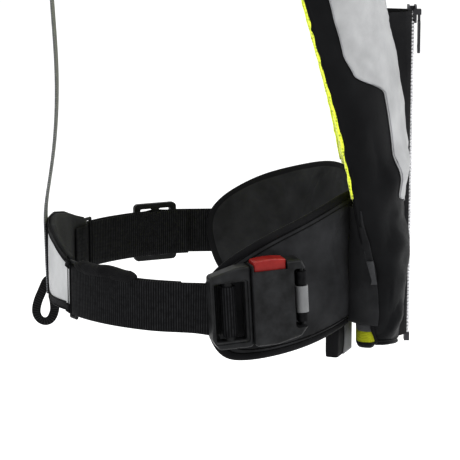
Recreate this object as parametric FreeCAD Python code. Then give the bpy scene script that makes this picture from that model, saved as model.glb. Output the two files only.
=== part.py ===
import FreeCAD
import Part
import math
import os

from FreeCAD import Matrix, Placement, Rotation, Vector

# An inflatable life jacket in its worn shape, in millimetres. The wearer faces -Y, the wearer's right is -X
# and +Z is up. The origin is the middle of the waist loop, at the height of the waist webbing.
#
# A horseshoe pad (right lobe, collar, left lobe) holds the folded bladder and the inflation gear. A zip
# joins the two lobes at the centre front. A waist loop of padded wings, webbing, a back pad and a push
# button buckle on the wearer's right side goes round the wearer and behind the lobes.

# ---------------------------------------------------------------- driving dimensions
LOOP_HALF_WIDTH = 143.0      # waist loop at the webbing, X
LOOP_BACK_DEPTH = 135.0      # from the origin to the loop's back, Y
LOOP_FRONT_DEPTH = 126.5     # from the origin to the loop's front, Y
WEBBING = 40.0               # width of the waist webbing
WEBBING_THICK = 1.8
CLOTH = 1.2                  # cover cloth
MESH_CLOTH = 3.0             # spacer mesh lining
FIT = 0.4                    # air left between two pieces that only touch
ZIP_Y = -163.5               # plane of the zip tape
ZIP_LOW, ZIP_HIGH = -58.0, 214.0
TOOTH_PITCH = 3.0
BUCKLE_ANGLE = 104.4         # where the buckle sits round the waist loop, from centre back
BUCKLE_TILT = 3.0            # its front end is a little higher than its rear end
BUTTON_TRAVEL = 3.5
CYLINDER_R, CYLINDER_LENGTH = 12.5, 116.0

UP = Vector(0, 0, 1)
ORIGIN = Vector(0, 0, 0)


# ---------------------------------------------------------------- small tools
def save(name, *solids):
    shape = solids[0] if len(solids) == 1 else Part.makeCompound(solids)
    shape.exportStep(f"parts/{name}.step")
    print(f"{name:28s} {shape.Volume / 1000:9.2f} cm3  {len(shape.Solids)} solid(s)  valid {shape.isValid()}")


def box(x0, x1, y0, y1, z0, z1):
    return Part.makeBox(x1 - x0, y1 - y0, z1 - z0, Vector(x0, y0, z0))


def rod(radius, start, direction, length):
    return Part.makeCylinder(radius, length, start, direction)


def mirrored(shape):
    return shape.mirror(ORIGIN, Vector(1, 0, 0))


def curve(points, closed=False):
    spline = Part.BSplineCurve()
    spline.interpolate(Points=points, PeriodicFlag=closed)
    return spline.toShape()


def rounded(shape, radius, pick):
    """Fillets the edges that pick(edge) chooses."""
    edges = [e for e in shape.Edges if pick(e)]
    return shape.makeFillet(radius, edges) if edges else shape


def along(edge, direction):
    """True if a straight edge runs along direction."""
    a, b = edge.Vertexes[0].Point, edge.Vertexes[-1].Point
    run = b - a
    return run.Length > 0 and abs(run.normalize().dot(direction)) > 0.999


# ---------------------------------------------------------------- waist loop
def loop_point(angle, offset=0.0):
    """A point on the waist loop. Angle 0 is centre back, 90 the wearer's right side, 180 centre front."""
    a = math.radians(angle)
    depth = LOOP_BACK_DEPTH if math.cos(a) > 0 else LOOP_FRONT_DEPTH
    at = Vector(-LOOP_HALF_WIDTH * math.sin(a), depth * math.cos(a), 0)
    return at + loop_normal(angle) * offset


def loop_normal(angle):
    a = math.radians(angle)
    depth = LOOP_BACK_DEPTH if math.cos(a) > 0 else LOOP_FRONT_DEPTH
    return Vector(-math.sin(a) / LOOP_HALF_WIDTH, math.cos(a) / depth, 0).normalize()


def loop_forward(angle):
    return UP.cross(loop_normal(angle))


def loop_run(first, last, offset, step=6.0):
    """Points along the waist loop, offset outward."""
    count = max(2, round(abs(last - first) / step))
    return [loop_point(first + (last - first) * n / count, offset) for n in range(count + 1)]


def ribbon(inner, outer, low, high):
    """A strip of cloth on edge: the area between two plan curves, from one height to another."""
    sides = [curve(inner), curve(outer)]
    ends = [Part.makeLine(inner[0], outer[0]), Part.makeLine(inner[-1], outer[-1])]
    face = Part.Face(Part.Wire(Part.__sortEdges__(sides + ends)))
    face.translate(UP * low)
    return face.extrude(UP * (high - low))


def loop_band(first, last, offset, thick, low, high):
    return ribbon(loop_run(first, last, offset), loop_run(first, last, offset + thick), low, high)


def side_outline(points):
    """A prism through the wearer's right side whose outline, seen from that side, is (y, z) points."""
    face = Part.Face(Part.Wire([curve([Vector(-200, y, z) for y, z in points], closed=True)]))
    return face.extrude(Vector(200, 0, 0))


def rear_outline(points):
    """A prism through the wearer's back whose outline, seen from behind, is (x, z) points."""
    face = Part.Face(Part.Wire(Part.makePolygon([Vector(x, 60, z) for x, z in points + points[:1]]).Edges))
    return face.extrude(Vector(0, 120, 0))


# ---------------------------------------------------------------- horseshoe pad
# Each station: the middle of the pad's neck-side edge, the middle of its outer edge, thickness and bulge.
STATIONS = [
    ((-15, -146.5, -62), (-76, -138, -48), 18, 1),
    ((-9.3, -146.5, -40), (-88, -134.6, -30), 27, 2),
    ((-9, -146, 0), (-91, -133, 4), 29, 3),
    ((-9, -145.5, 60), (-95, -120, 64), 33, 4),
    ((-9, -145, 120), (-106, -107, 124), 35, 5),
    ((-9, -136, 180), (-118, -90, 184), 35, 7),
    ((-15, -126, 235), (-131, -74, 240), 34, 8),
    ((-33, -111, 290), (-141, -55, 300), 32, 9),
    ((-50, -84, 345), (-147, -28, 352), 29, 8),
    ((-56, -38, 388), (-150, 2, 376), 27, 7),
    ((-57, 6, 404), (-148, 36, 376), 26, 6),
    ((-51, 48, 411), (-121, 84, 367), 26, 6),
    ((-30, 74, 413), (-72, 117, 347), 27, 7),
    ((0, 82, 414), (0, 133, 335), 28, 8),
]
MIDDLE = len(STATIONS) - 1          # index of the centre back
LAST = 2 * MIDDLE                   # index of the left lobe's lower end
SHOULDER = 10                       # index of the seam between a lobe and the collar
SIDE_POWER, FACE_POWER = 0.62, 0.85  # how square the pad's section is


def rail(which):
    right = [Vector(*s[which]) for s in STATIONS]
    left = [Vector(-p.x, p.y, p.z) for p in reversed(right[:-1])]
    return knotted(right + left)


def knotted(points):
    spline = Part.BSplineCurve()
    spline.interpolate(Points=points, Parameters=[float(n) for n in range(len(points))])
    return spline


def body_rail():
    sizes = [(s[2], s[3]) for s in STATIONS]
    return knotted([Vector(thick, bulge, n) for n, (thick, bulge) in enumerate(sizes + sizes[-2::-1])])


NECK_RAIL, OUTER_RAIL, BODY_RAIL = rail(0), rail(1), body_rail()


class Station:
    """The pad's section at an index: its middle, the directions across, along and outward, and its size."""

    def __init__(self, index):
        neck, outer = NECK_RAIL.value(index), OUTER_RAIL.value(index)
        size = BODY_RAIL.value(index)
        before, after = max(0.0, index - 0.05), min(float(LAST), index + 0.05)
        run = NECK_RAIL.value(after) + OUTER_RAIL.value(after)
        run = run - NECK_RAIL.value(before) - OUTER_RAIL.value(before)
        self.middle = (neck + outer) * 0.5
        self.across = (neck - outer).normalize()
        self.outward = self.across.cross(run).normalize()
        self.along = self.outward.cross(self.across)
        self.width, self.thick, self.bulge = (neck - outer).Length, size.x, size.y

    def at(self, u, v):
        """A point u towards the neck edge and v outward, on the bulged pad."""
        rise = self.bulge * (1 - min(1.0, (2 * u / self.width) ** 2))
        return self.middle + self.across * u + self.outward * (v + rise)

    def skin(self, angle, inset):
        """A point on the outline. Angle 0 is the neck edge, 90 the outer face, 270 the wearer's side."""
        a = math.radians(angle)
        u = (self.width / 2 - inset) * power(math.cos(a), SIDE_POWER)
        v = (self.thick / 2 - inset) * power(math.sin(a), FACE_POWER)
        return self.at(u, v)


def power(value, exponent):
    return math.copysign(abs(value) ** exponent, value)


def spread(first, last, count):
    return [first + (last - first) * n / (count - 1) for n in range(count)]


def skin_strip(indices, angles, inset, thick, count=15, ruled=False):
    """A sheet over part of the pad's outline: angles(index) gives its two edges, inset its outer face."""
    wires = []
    for index in indices:
        s = Station(index)
        first, last = angles(index)
        outer = [s.skin(a, inset) for a in spread(first, last, count)]
        inner = [s.skin(a, inset + thick) for a in spread(first, last, count)]
        edges = [curve(outer), Part.makeLine(outer[-1], inner[-1]),
                 curve(inner[::-1]), Part.makeLine(inner[0], outer[0])]
        wires.append(Part.Wire(edges))
    return Part.makeLoft(wires, True, ruled)


def padding(indices, side_inset, face_inset):
    """A closed soft filling inside the pad."""
    wires = []
    for index in indices:
        s = Station(index)
        halves = []
        for start in (0, 180):
            points = []
            for angle in spread(start, start + 180, 9):
                a = math.radians(angle)
                u = (s.width / 2 - side_inset) * power(math.cos(a), SIDE_POWER)
                v = (s.thick / 2 - face_inset) * power(math.sin(a), FACE_POWER)
                points.append(s.at(u, v))
            halves.append(curve(points))
        wires.append(Part.Wire(halves))
    return Part.makeLoft(wires, True, False)


def steps(first, last, per_index=2):
    return spread(first, last, round((last - first) * per_index) + 1)


# ---------------------------------------------------------------- cover, lining and bladder
COVER_EDGE = 28.0            # how far the cover wraps behind each edge, in degrees of the outline
LINING_EDGE = 34.0


def cover_pieces():
    whole = lambda index: (-COVER_EDGE, 180 + COVER_EDGE)
    back = lambda index: (180 + LINING_EDGE, 360 - LINING_EDGE)
    seam = 0.004
    ranges = {"right": (0, SHOULDER - seam), "collar": (SHOULDER + seam, LAST - SHOULDER - seam),
              "left": (LAST - SHOULDER + seam, LAST)}
    for name, (first, last) in ranges.items():
        save(f"cover_{name}", skin_strip(steps(first, last), whole, 0.0, CLOTH))
        save(f"lining_{name}", skin_strip(steps(first, last), back, FIT, MESH_CLOTH))


def end_gusset(index, direction):
    """The flat piece that closes a lobe's lower end."""
    s = Station(index)
    outline = [s.skin(a, 0.3) + s.along * (direction * 2 * FIT) for a in range(0, 360, 20)]
    normal = s.along * direction
    flat = [p - normal * normal.dot(p - outline[0]) for p in outline]
    face = Part.Face(Part.Wire([curve(flat, closed=True)]))
    return face.extrude(normal * CLOTH)


def contrast_panel(first_index, last_index):
    """The light panel sewn on a lobe: a wide chest part and a narrow strip beside the zip."""
    def edges(index):
        share = min(1.0, max(0.0, (min(index, LAST - index) - 4.45) / 0.45))
        smooth = share * share * (3 - 2 * share)
        return 49.0, 102.0 + 46.0 * smooth
    return skin_strip(steps(first_index, last_index, 10), edges, -FIT - 0.8, 0.8, 9, ruled=True)


def belt_keeper(first_index, last_index):
    """A strip on the lobe's outer edge that holds the waist wing against it."""
    return skin_strip(steps(first_index, last_index, 4), lambda index: (196.0, 229.0), -FIT - 1.2, 1.2)


# ---------------------------------------------------------------- zip
def zip_pieces():
    count = int((ZIP_HIGH - ZIP_LOW) / TOOTH_PITCH)
    tooth_half = 0.3 * TOOTH_PITCH
    inner, outer = 0.55, 4.2
    for name, side in (("right", -1), ("left", 1)):
        tape = zip_tape(outer)
        teeth = []
        for n in range(count):
            z = ZIP_LOW + TOOTH_PITCH * (n + 0.5 + 0.25 * side)
            teeth.append(box(inner, outer, ZIP_Y - 1.5, ZIP_Y + 1.5, z - tooth_half, z + tooth_half))
        if side < 0:
            tape, teeth = mirrored(tape), [mirrored(t) for t in teeth]
        save(f"zip_tape_{name}", tape)
        save(f"zip_teeth_{name}", *teeth)
    save("zip_bottom_box", box(-4.6, 4.6, ZIP_Y - 2.2, ZIP_Y + 2.2, ZIP_LOW - 7, ZIP_LOW - 0.2))
    save("zip_slider", zip_slider())
    save("zip_pull", zip_pull())


def zip_tape(edge):
    """The left tape: flat beside the teeth, then laid on the lobe's front face."""
    wires = []
    for index in steps(0.12, 5.56, 3):
        s = Station(index)
        z = s.skin(40, -FIT).z
        on_lobe = [s.skin(a, -FIT - 0.6) for a in (34, 40, 46)]
        middle = [Vector(edge, ZIP_Y, z), Vector(8.0, ZIP_Y, z)] + [Vector(-p.x, p.y, z) for p in on_lobe]
        front, back = [], []
        for n, p in enumerate(middle):
            run = middle[min(n + 1, len(middle) - 1)] - middle[max(n - 1, 0)]
            side = UP.cross(run).normalize() * 0.5
            front.append(p - side)
            back.append(p + side)
        wires.append(Part.makePolygon(front + back[::-1] + front[:1]))
    return Part.makeLoft(wires, True, True)


SLIDER_TOP = ZIP_HIGH + 4.0
SLIDER_LENGTH = 15.0
SLIDER_PLATE = 1.5
SLIDER_GAP = 2.1             # from the tape's plane to the inside of each plate
PULL_AXIS = (ZIP_Y - SLIDER_GAP - SLIDER_PLATE - 2.4, SLIDER_TOP - 6.0)   # y, z


def zip_slider():
    low = SLIDER_TOP - SLIDER_LENGTH
    plates = []
    for sign in (-1, 1):
        y0, y1 = sorted((ZIP_Y + sign * SLIDER_GAP, ZIP_Y + sign * (SLIDER_GAP + SLIDER_PLATE)))
        plate = box(-6.2, 6.2, y0, y1, low, SLIDER_TOP)
        plates.append(rounded(plate, 3.0, lambda e: along(e, Vector(0, 1, 0))))
    lips = []
    for side in (-1, 1):
        for sign in (-1, 1):
            x0, x1 = sorted((side * 5.0, side * 6.2))
            y0, y1 = sorted((ZIP_Y + sign * 0.9, ZIP_Y + sign * (SLIDER_GAP + 0.2)))
            lips.append(box(x0, x1, y0, y1, low + 3, SLIDER_TOP - 3))
    web = box(-0.3, 0.3, ZIP_Y - SLIDER_GAP - 0.2, ZIP_Y + SLIDER_GAP + 0.2, low + 2, SLIDER_TOP - 1)
    y, z = PULL_AXIS
    ears = []
    for side in (-1, 1):
        x0, x1 = sorted((side * 1.9, side * 3.1))
        ears.append(box(x0, x1, y - 1.6, ZIP_Y - SLIDER_GAP - 0.2, z - 2.2, z + 2.2))
    pin = rod(0.7, Vector(-2.5, y, z), Vector(1, 0, 0), 5.0)
    body = plates[0].fuse([plates[1], web, pin] + lips + ears)
    return body.removeSplitter()


def zip_pull():
    y, z = PULL_AXIS
    eye = rod(1.7, Vector(-1.6, y, z), Vector(1, 0, 0), 3.2)
    neck = box(-1.6, 1.6, y - 1.0, y + 1.0, z - 9, z)
    tab = rounded(box(-4.0, 4.0, y - 1.0, y + 1.0, z - 34, z - 7), 2.4, lambda e: along(e, Vector(0, 1, 0)))
    grip = rod(2.0, Vector(0, y - 2, z - 28.5), Vector(0, 1, 0), 4)
    hole = rod(0.76, Vector(-3, y, z), Vector(1, 0, 0), 6)
    return eye.fuse([neck, tab]).cut(hole).cut(grip).removeSplitter()


# ---------------------------------------------------------------- waist loop pieces
WING_OUTLINE = [(3, 3), (-5, 23), (-20, 35), (-46, 49), (-77, 61), (-103, 71), (-121, 68), (-131, 44),
                (-129, 2), (-116, -24), (-85, -35), (-53, -39.5), (-24, -41), (-6, -31)]
WING_END = 165.5
BELT_Z = 22.0                # middle of the webbing behind the lobes


def wing():
    pad = loop_band(84, WING_END, -6.5, 7.5, -60, 90)
    return pad.common(side_outline(WING_OUTLINE))


RING_ANGLE = 36.0            # where the back pad meets the side webbing
BACK_OUTLINE = [(-86, 21), (-70, 25), (-50, 34), (-30, 39), (0, 40), (30, 39), (50, 34), (70, 25), (86, 21),
                (86, -20), (70, -21), (45, -24), (0, -25), (-45, -24), (-70, -21), (-86, -20)]


def back_pad():
    first, last = -RING_ANGLE + 4.6, RING_ANGLE - 4.6
    pad = loop_band(first, last, -4.0, 5.0, -60, 60)
    return pad.common(rear_outline(BACK_OUTLINE))


def back_panel():
    """The light panel sewn inside the back pad's dark edge tape."""
    panel = loop_band(-RING_ANGLE + 8, RING_ANGLE - 8, 1.0 + FIT, 0.8, -60, 60)
    return panel.common(rear_outline([(x * 0.93, z - math.copysign(7.0, z)) for x, z in BACK_OUTLINE]))


def ring(angle):
    """A rectangular wire ring in which the back pad and the side webbing each turn round one upright."""
    half_height, wire = WEBBING / 2 + 2.6, RING_WIRE
    at, forward = loop_point(angle, 1.6), loop_forward(angle)
    corners = [at + forward * (sign * RING_BAR) + UP * z
               for sign, z in ((-1, -half_height), (1, -half_height), (1, half_height), (-1, half_height))]
    frame = [rod(wire, a, (b - a).normalize(), (b - a).Length)
             for a, b in zip(corners, corners[1:] + corners[:1])]
    balls = [Part.makeSphere(wire, c) for c in corners]
    shift = UP * RING_DROP
    shape = frame[0].fuse(frame[1:] + balls).removeSplitter()
    shape.translate(shift)
    return shape


RING_DROP = -1.5             # the webbing's middle is this far below the origin
SIDE_LOW = RING_DROP - WEBBING / 2
SIDE_HIGH = RING_DROP + WEBBING / 2
RING_BAR = 4.0               # from the ring's middle to each upright
RING_WIRE = 1.4              # radius of the ring's wire
INNER_LAYER, OUTER_LAYER = -1.4, 4.6   # offsets of the two layers of side webbing from the loop
WEB_JOIN = BUCKLE_ANGLE - 20.6         # where the layers leave the loop for the buckle's ladder bar


def turn(centre, start, end_angle, radius, count=5):
    """Points of an arc in plan from start (degrees) through end_angle (degrees)."""
    return [centre + Vector(math.cos(math.radians(a)), math.sin(math.radians(a)), 0) * radius
            for a in spread(start, end_angle, count)]


def plan_degrees(v):
    return math.degrees(math.atan2(v.y, v.x))


def strip(points, low, high, thick=WEBBING_THICK):
    """Webbing on edge that follows plan points at its middle."""
    spline = Part.BSplineCurve()
    spline.interpolate(Points=points)
    first, last = spline.FirstParameter, spline.LastParameter
    count = 3 * len(points)
    inner, outer = [], []
    for p in spread(first, last, count):
        here, heading = spline.value(p), spline.tangent(p)[0]
        side = UP.cross(heading).normalize() * (thick / 2)
        inner.append(here - side)
        outer.append(here + side)
    return ribbon(inner, outer, low, high)


def ring_turn(angle, side=1):
    """Webbing turning round one upright of the ring: 1 is the front upright, -1 the rear one."""
    centre = loop_point(angle, 1.6) + loop_forward(angle) * (RING_BAR * side)
    start = plan_degrees(loop_normal(angle))
    return turn(centre, start, start - 180 * side, RING_WIRE + FIT + WEBBING_THICK / 2)


def back_tab():
    """The webbing tab sewn behind the back pad that turns round the ring's rear upright."""
    lead = [loop_point(24, -5.4), loop_point(27, -5.4), loop_point(31.2, -5.5)]
    return strip(lead + ring_turn(RING_ANGLE, -1)[::-1], SIDE_LOW, SIDE_HIGH)


def local_loop(angle, offset):
    """A point of the waist loop in the buckle's (forward, outward) plane."""
    at = loop_point(angle, offset) - BUCKLE_AT
    return at.dot(BUCKLE_X), at.dot(BUCKLE_Z)


def webbing_over_bar():
    """Webbing behind the frame's rear side, over the ladder bar and back below itself."""
    x, _, z = LADDER_BAR
    reach = LADDER_BAR_R + FIT + WEBBING_THICK / 2
    arc = [(x + reach * math.cos(math.radians(a)), z + reach * math.sin(math.radians(a)))
           for a in spread(200, -35, 8)]
    end = WEB_JOIN - 1
    path = [local_loop(end, 5.0), local_loop(end + 2.5, 5.0), (-36, -0.9), (-31, 0.6), (-28.7, 2.6)] + arc
    path += [(-19.0, 0.9), (-23, -1.8), (-30, -3.6), local_loop(end + 6.5, 2.5), local_loop(end + 3, 2.3),
             local_loop(end, 2.2)]
    band = strip([Vector(u, w, 0) for u, w in path], -WEBBING / 2, WEBBING / 2)
    band.rotate(ORIGIN, Vector(1, 0, 0), 90)
    return in_place(band)


def right_webbing():
    """One length: tail, ladder bar, outer layer, ring, and the inner layer sewn to the wing."""
    outer = loop_run(WEB_JOIN, 44, OUTER_LAYER, 10)
    inner = loop_run(RING_ANGLE + 8, 80, INNER_LAYER, 10)
    long_side = strip(outer + ring_turn(RING_ANGLE) + inner, SIDE_LOW, SIDE_HIGH)
    tail = strip(loop_run(WEB_JOIN, 67, 1.9, 6), SIDE_LOW, SIDE_HIGH)
    hem = loop_band(66, 69, 0.6, 2.6, SIDE_LOW, SIDE_HIGH)
    return long_side.fuse([tail, hem, webbing_over_bar()]).removeSplitter()


# ---------------------------------------------------------------- buckle
# Buckle coordinates: x forward along the belt, y up, z outward from the wearer. Its middle is at (0, 0).
BUCKLE_OFFSET = 4.6
HOUSING_DEPTH = 17.8
SPLIT = 8.0                  # the parting plane between the housing's back and front shells
TONGUE = (6.0, 10.0)         # the tongue's back and front faces
SEAM = -4.5                  # the male half meets the housing here
LADDER_BAR = (-22.2, -1.0, 7.2)
LADDER_BAR_R = 4.2
SLOT = (-34.0, -9.4, -23.0, 23.0)
YOKE_SLOT = (28.5, -17.5, 29.5)   # its rear end, bottom and top
YOKE_BAR = (34.9, 38.4, 5.0, 11.0)


def buckle_axes():
    forward, normal = loop_forward(BUCKLE_ANGLE), loop_normal(BUCKLE_ANGLE)
    tilt = Rotation(normal, BUCKLE_TILT)
    return tilt.multVec(forward), tilt.multVec(UP), normal


BUCKLE_X, BUCKLE_Y, BUCKLE_Z = buckle_axes()
BUCKLE_AT = loop_point(BUCKLE_ANGLE, BUCKLE_OFFSET)


def buckle_direction(x, y, z):
    return BUCKLE_X * x + BUCKLE_Y * y + BUCKLE_Z * z


def buckle_point(x, y, z):
    return BUCKLE_AT + buckle_direction(x, y, z)


def in_place(shape):
    """Moves a shape from buckle coordinates to its place on the waist loop."""
    x, y, z, at = BUCKLE_X, BUCKLE_Y, BUCKLE_Z, BUCKLE_AT
    moved = shape.copy()
    moved.Placement = Placement(Matrix(x.x, y.x, z.x, at.x, x.y, y.y, z.y, at.y, x.z, y.z, z.z, at.z,
                                       0, 0, 0, 1)).multiply(moved.Placement)
    return moved


def plate(points, z0, z1, radii=None):
    """A prism of a polygon in buckle coordinates, with its upright corners rounded."""
    ring_points = [Vector(x, y, z0) for x, y in points]
    solid = Part.Face(Part.makePolygon(ring_points + ring_points[:1])).extrude(Vector(0, 0, z1 - z0))
    return rounded(solid, radii, lambda e: along(e, UP)) if radii else solid


def near(z):
    return lambda e: all(abs(v.Point.z - z) < 1e-6 for v in e.Vertexes)


HOUSING_OUTLINE = [(SEAM, -29.0), (14, -29.0), (33, -24.5), (39.3, -17), (39.3, 28), (35, 36.5), (SEAM, 36.0)]
BUTTON = (-2.8, 23.2, 30.0, 39.0, 1.8, 15.8)     # x, y and z limits of the red button
WELL_FLOOR = BUTTON[2] - 7.6                     # the button's springs stand here


def housing():
    x0, x1, y0, _, z0, z1 = BUTTON
    body = plate(HOUSING_OUTLINE, 0, HOUSING_DEPTH, 3.2)
    body = rounded(body, 2.6, near(HOUSING_DEPTH))
    body = rounded(body, 1.0, near(0))
    yoke_x, yoke_low, yoke_high = YOKE_SLOT
    slot = plate([(yoke_x, yoke_low), (60, yoke_low), (60, yoke_high), (yoke_x, yoke_high)], -5, 30, 2.5)
    body = body.cut(slot)
    bx0, bx1, bz0, bz1 = YOKE_BAR
    bar = rounded(box(bx0, bx1, yoke_low - 3, yoke_high + 3, bz0, bz1), 1.5,
                  lambda e: along(e, Vector(0, 1, 0)))
    body = body.fuse(bar.common(plate(HOUSING_OUTLINE, 0, HOUSING_DEPTH)))
    gap = 0.45
    button_well = box(x0 - gap, x1 + gap, WELL_FLOOR, 60, z0 - gap, z1 + gap)
    button_mouth = box(x0 - gap, x1 + gap, y0 + 0.4, 60, z0 - gap, 40)
    tongue_slot = box(-20, 25.0, -16.4, 16.4, TONGUE[0] - 0.4, TONGUE[1] + 0.4)
    latch_well = box(6.0, 26.5, -8.0, 18.0, 1.4, TONGUE[0] - 0.2)
    stem_well = box(7.4, 20.6, 4.0, WELL_FLOOR + 3, 3.0, TONGUE[0] - 0.2)
    body = body.cut(button_well).cut(button_mouth).cut(tongue_slot).cut(latch_well).cut(stem_well)
    cut_back = box(-80, 80, -80, 80, SPLIT - 0.05, 60)
    cut_front = box(-80, 80, -80, 80, -20, SPLIT + 0.05)
    return body.cut(cut_back), body.cut(cut_front)


def housing_pins():
    """Four rivets that hold the two shells together."""
    places = ((0.5, -23), (26, -20.5), (26.6, -9.6), (26.6, 12))
    return [rod(1.4, Vector(x, y, 1.2), UP, 12.0) for x, y in places]


def male_half():
    """The ladder frame that grips the webbing, and the tongue that latches into the housing."""
    outline = [(-37.2, -21), (-32, -29), (SEAM - 0.3, -29.5), (SEAM - 0.3, 35.5), (-16, 34.5), (-37.2, 29)]
    frame = plate(outline, 2.2, 14.2, 3.0)
    frame = rounded(frame, 2.2, near(14.2))
    x0, x1, y0, y1 = SLOT
    window = plate([(x0, y0), (x1, y0), (x1, y1), (x0, y1)], -5, 30, 1.6)
    inner_bevel = rounded(plate([(x0 - 2, y0 - 2), (x1 + 2, y0 - 2), (x1 + 2, y1 + 2), (x0 - 2, y1 + 2)],
                                11.4, 30, 2.6), 2.0, near(11.4))
    bar = rod(LADDER_BAR_R, Vector(LADDER_BAR[0], y0 - 2, LADDER_BAR[2]), Vector(0, 1, 0), y1 - y0 + 4)
    tongue = box(SEAM - 4, 23.5, -15, 15, *TONGUE)
    tongue = rounded(tongue, 5.0, lambda e: along(e, UP) and e.BoundBox.XMin > 20)
    catch = box(10.0, 18.2, -7.6, 7.6, 0, 20)
    return frame.cut(window).cut(inner_bevel).fuse([bar, tongue]).cut(catch).removeSplitter()


def latch_leaf():
    """A spring leaf fixed in the back shell, with a tooth that stands in the tongue's window."""
    leaf = box(10.6, 26.0, -6.6, 6.6, 1.8, 2.7)
    tooth = box(10.6, 17.4, -6.6, 6.6, 2.7, 8.6)
    return leaf.fuse(tooth).removeSplitter()


def red_button():
    x0, x1, y0, y1, z0, z1 = BUTTON
    crown = Part.makeCylinder(70, z1 - z0, Vector((x0 + x1) / 2, y1 - 70, z0), UP)
    cap = box(x0, x1, y0 - 4.0, y1, z0, z1).common(crown)
    cap = rounded(cap, 1.3, lambda e: e.BoundBox.YMax > y1 - 2.5)
    stems = [box(9.0, 19.0, 7.6, y0 - 3, 3.3, 5.4)]
    return cap.fuse(stems).removeSplitter()


def button_springs():
    x0, x1 = BUTTON[0], BUTTON[1]
    springs = []
    for x in (x0 + 4.2, x1 - 4.2):
        path = Part.makeHelix(1.0, 2.5, 1.9)
        profile = Part.Wire([Part.makeCircle(0.28, Vector(1.9, 0, 0), Vector(0, 1, 0))])
        coil = Part.Wire(path).makePipeShell([profile], True, True)
        coil.rotate(ORIGIN, Vector(1, 0, 0), -90)
        coil.translate(Vector(x, WELL_FLOOR + 0.5, 11.2))
        springs.append(coil)
    return springs


def anchor_webbing():
    """The wing's webbing loop round the yoke bar, and its leg down to the wing."""
    x0, x1, z0, z1 = YOKE_BAR
    low, high = -14.4, 25.4
    inner = rounded(box(x0 - 0.4, x1 + 0.4, low, high, z0 - 0.4, z1 + 0.4), 2.0,
                    lambda e: along(e, Vector(0, 1, 0)))
    grow = 0.4 + WEBBING_THICK
    outer = rounded(box(x0 - grow, x1 + grow, low, high, z0 - grow, z1 + grow), 3.4,
                    lambda e: along(e, Vector(0, 1, 0)))
    leg = box(x1 - 1.6, x1 + grow, low, high, -5.4, z0)
    return outer.fuse(leg).cut(inner).removeSplitter()


def reflective_sleeve():
    x0, x1, z0, z1 = YOKE_BAR
    low, high = -7.0, 14.0
    near_grow = 0.4 + WEBBING_THICK + 0.15
    inner = rounded(box(x0 - near_grow, x1 + near_grow, low - 1, high + 1, z0 - near_grow, z1 + near_grow),
                    3.5, lambda e: along(e, Vector(0, 1, 0)))
    grow = near_grow + 0.8
    outer = rounded(box(x0 - grow, x1 + grow, low, high, z0 - grow, z1 + grow), 4.2,
                    lambda e: along(e, Vector(0, 1, 0)))
    open_front = box(x1 - 2.2, x1 + 10, low - 2, high + 2, -8, z0 + 1.3)
    return outer.cut(inner).cut(open_front)


def buckle_pieces():
    back, front = housing()
    holes = [rod(1.45, p.CenterOfMass - Vector(0, 0, 6.05), UP, 12.1) for p in housing_pins()]
    for hole in holes:
        back, front = back.cut(hole), front.cut(hole)
    save("buckle_back_shell", in_place(back))
    save("buckle_front_shell", in_place(front))
    save("buckle_rivets", *[in_place(p) for p in housing_pins()])
    save("buckle_male_half", in_place(male_half()))
    save("latch_leaf", in_place(latch_leaf()))
    save("release_button", in_place(red_button()))
    save("button_springs", *[in_place(s) for s in button_springs()])
    save("anchor_webbing", in_place(anchor_webbing()))
    save("reflective_sleeve", in_place(reflective_sleeve()))


# ---------------------------------------------------------------- left side adjuster, loops and back strap
ADJUSTER_ANGLE = 68.0
BAR_BASE, BAR_TOP = 5.0, 7.2         # offsets of the slide's middle bar from the waist loop


def beside_loop(angle, points):
    """Plan points given as (forward, outward) from the waist loop at an angle."""
    at, forward, normal = loop_point(angle), loop_forward(angle), loop_normal(angle)
    return [at + forward * u + normal * w for u, w in points]


def adjuster():
    """The three-bar slide on the wearer's left, built on the right and mirrored."""
    frame = plate([(-20, -26), (20, -26), (20, 26), (-20, 26)], BAR_BASE, BAR_TOP + 2.6, 4.0)
    frame = rounded(frame, 1.0, near(BAR_TOP + 2.6))
    for x0, x1 in ((-14.5, -3.4), (3.4, 14.5)):
        frame = frame.cut(plate([(x0, -21.5), (x1, -21.5), (x1, 21.5), (x0, 21.5)], 0, 20, 1.4))
    frame = frame.cut(box(-4, 4, -21.5, 21.5, BAR_TOP, 20))
    x, z, at = loop_forward(ADJUSTER_ANGLE), loop_normal(ADJUSTER_ANGLE), loop_point(ADJUSTER_ANGLE)
    frame.Placement = Placement(Matrix(x.x, 0, z.x, at.x, x.y, 0, z.y, at.y, 0, 1, 0, RING_DROP, 0, 0, 0, 1))
    return frame


def left_webbing():
    """Built on the right and mirrored: sewn on the wing, through the slide, round the ring and back."""
    on_wing = loop_run(106, 86, 2.3, 5)
    over = BAR_TOP + FIT + WEBBING_THICK / 2
    weave = beside_loop(ADJUSTER_ANGLE, [(22, 2.6), (16, 3.4), (9.5, 4.6), (4.2, over - 0.6), (0, over),
                                         (-4.2, over - 0.6), (-9.5, 4.6), (-16, 3.4), (-22, 2.8)])
    outer = loop_run(ADJUSTER_ANGLE - 12, 44, OUTER_LAYER, 10)
    inner = loop_run(RING_ANGLE + 8, 80, INNER_LAYER, 10)
    return strip(on_wing + weave + outer + ring_turn(RING_ANGLE) + inner, SIDE_LOW, SIDE_HIGH)


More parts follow.
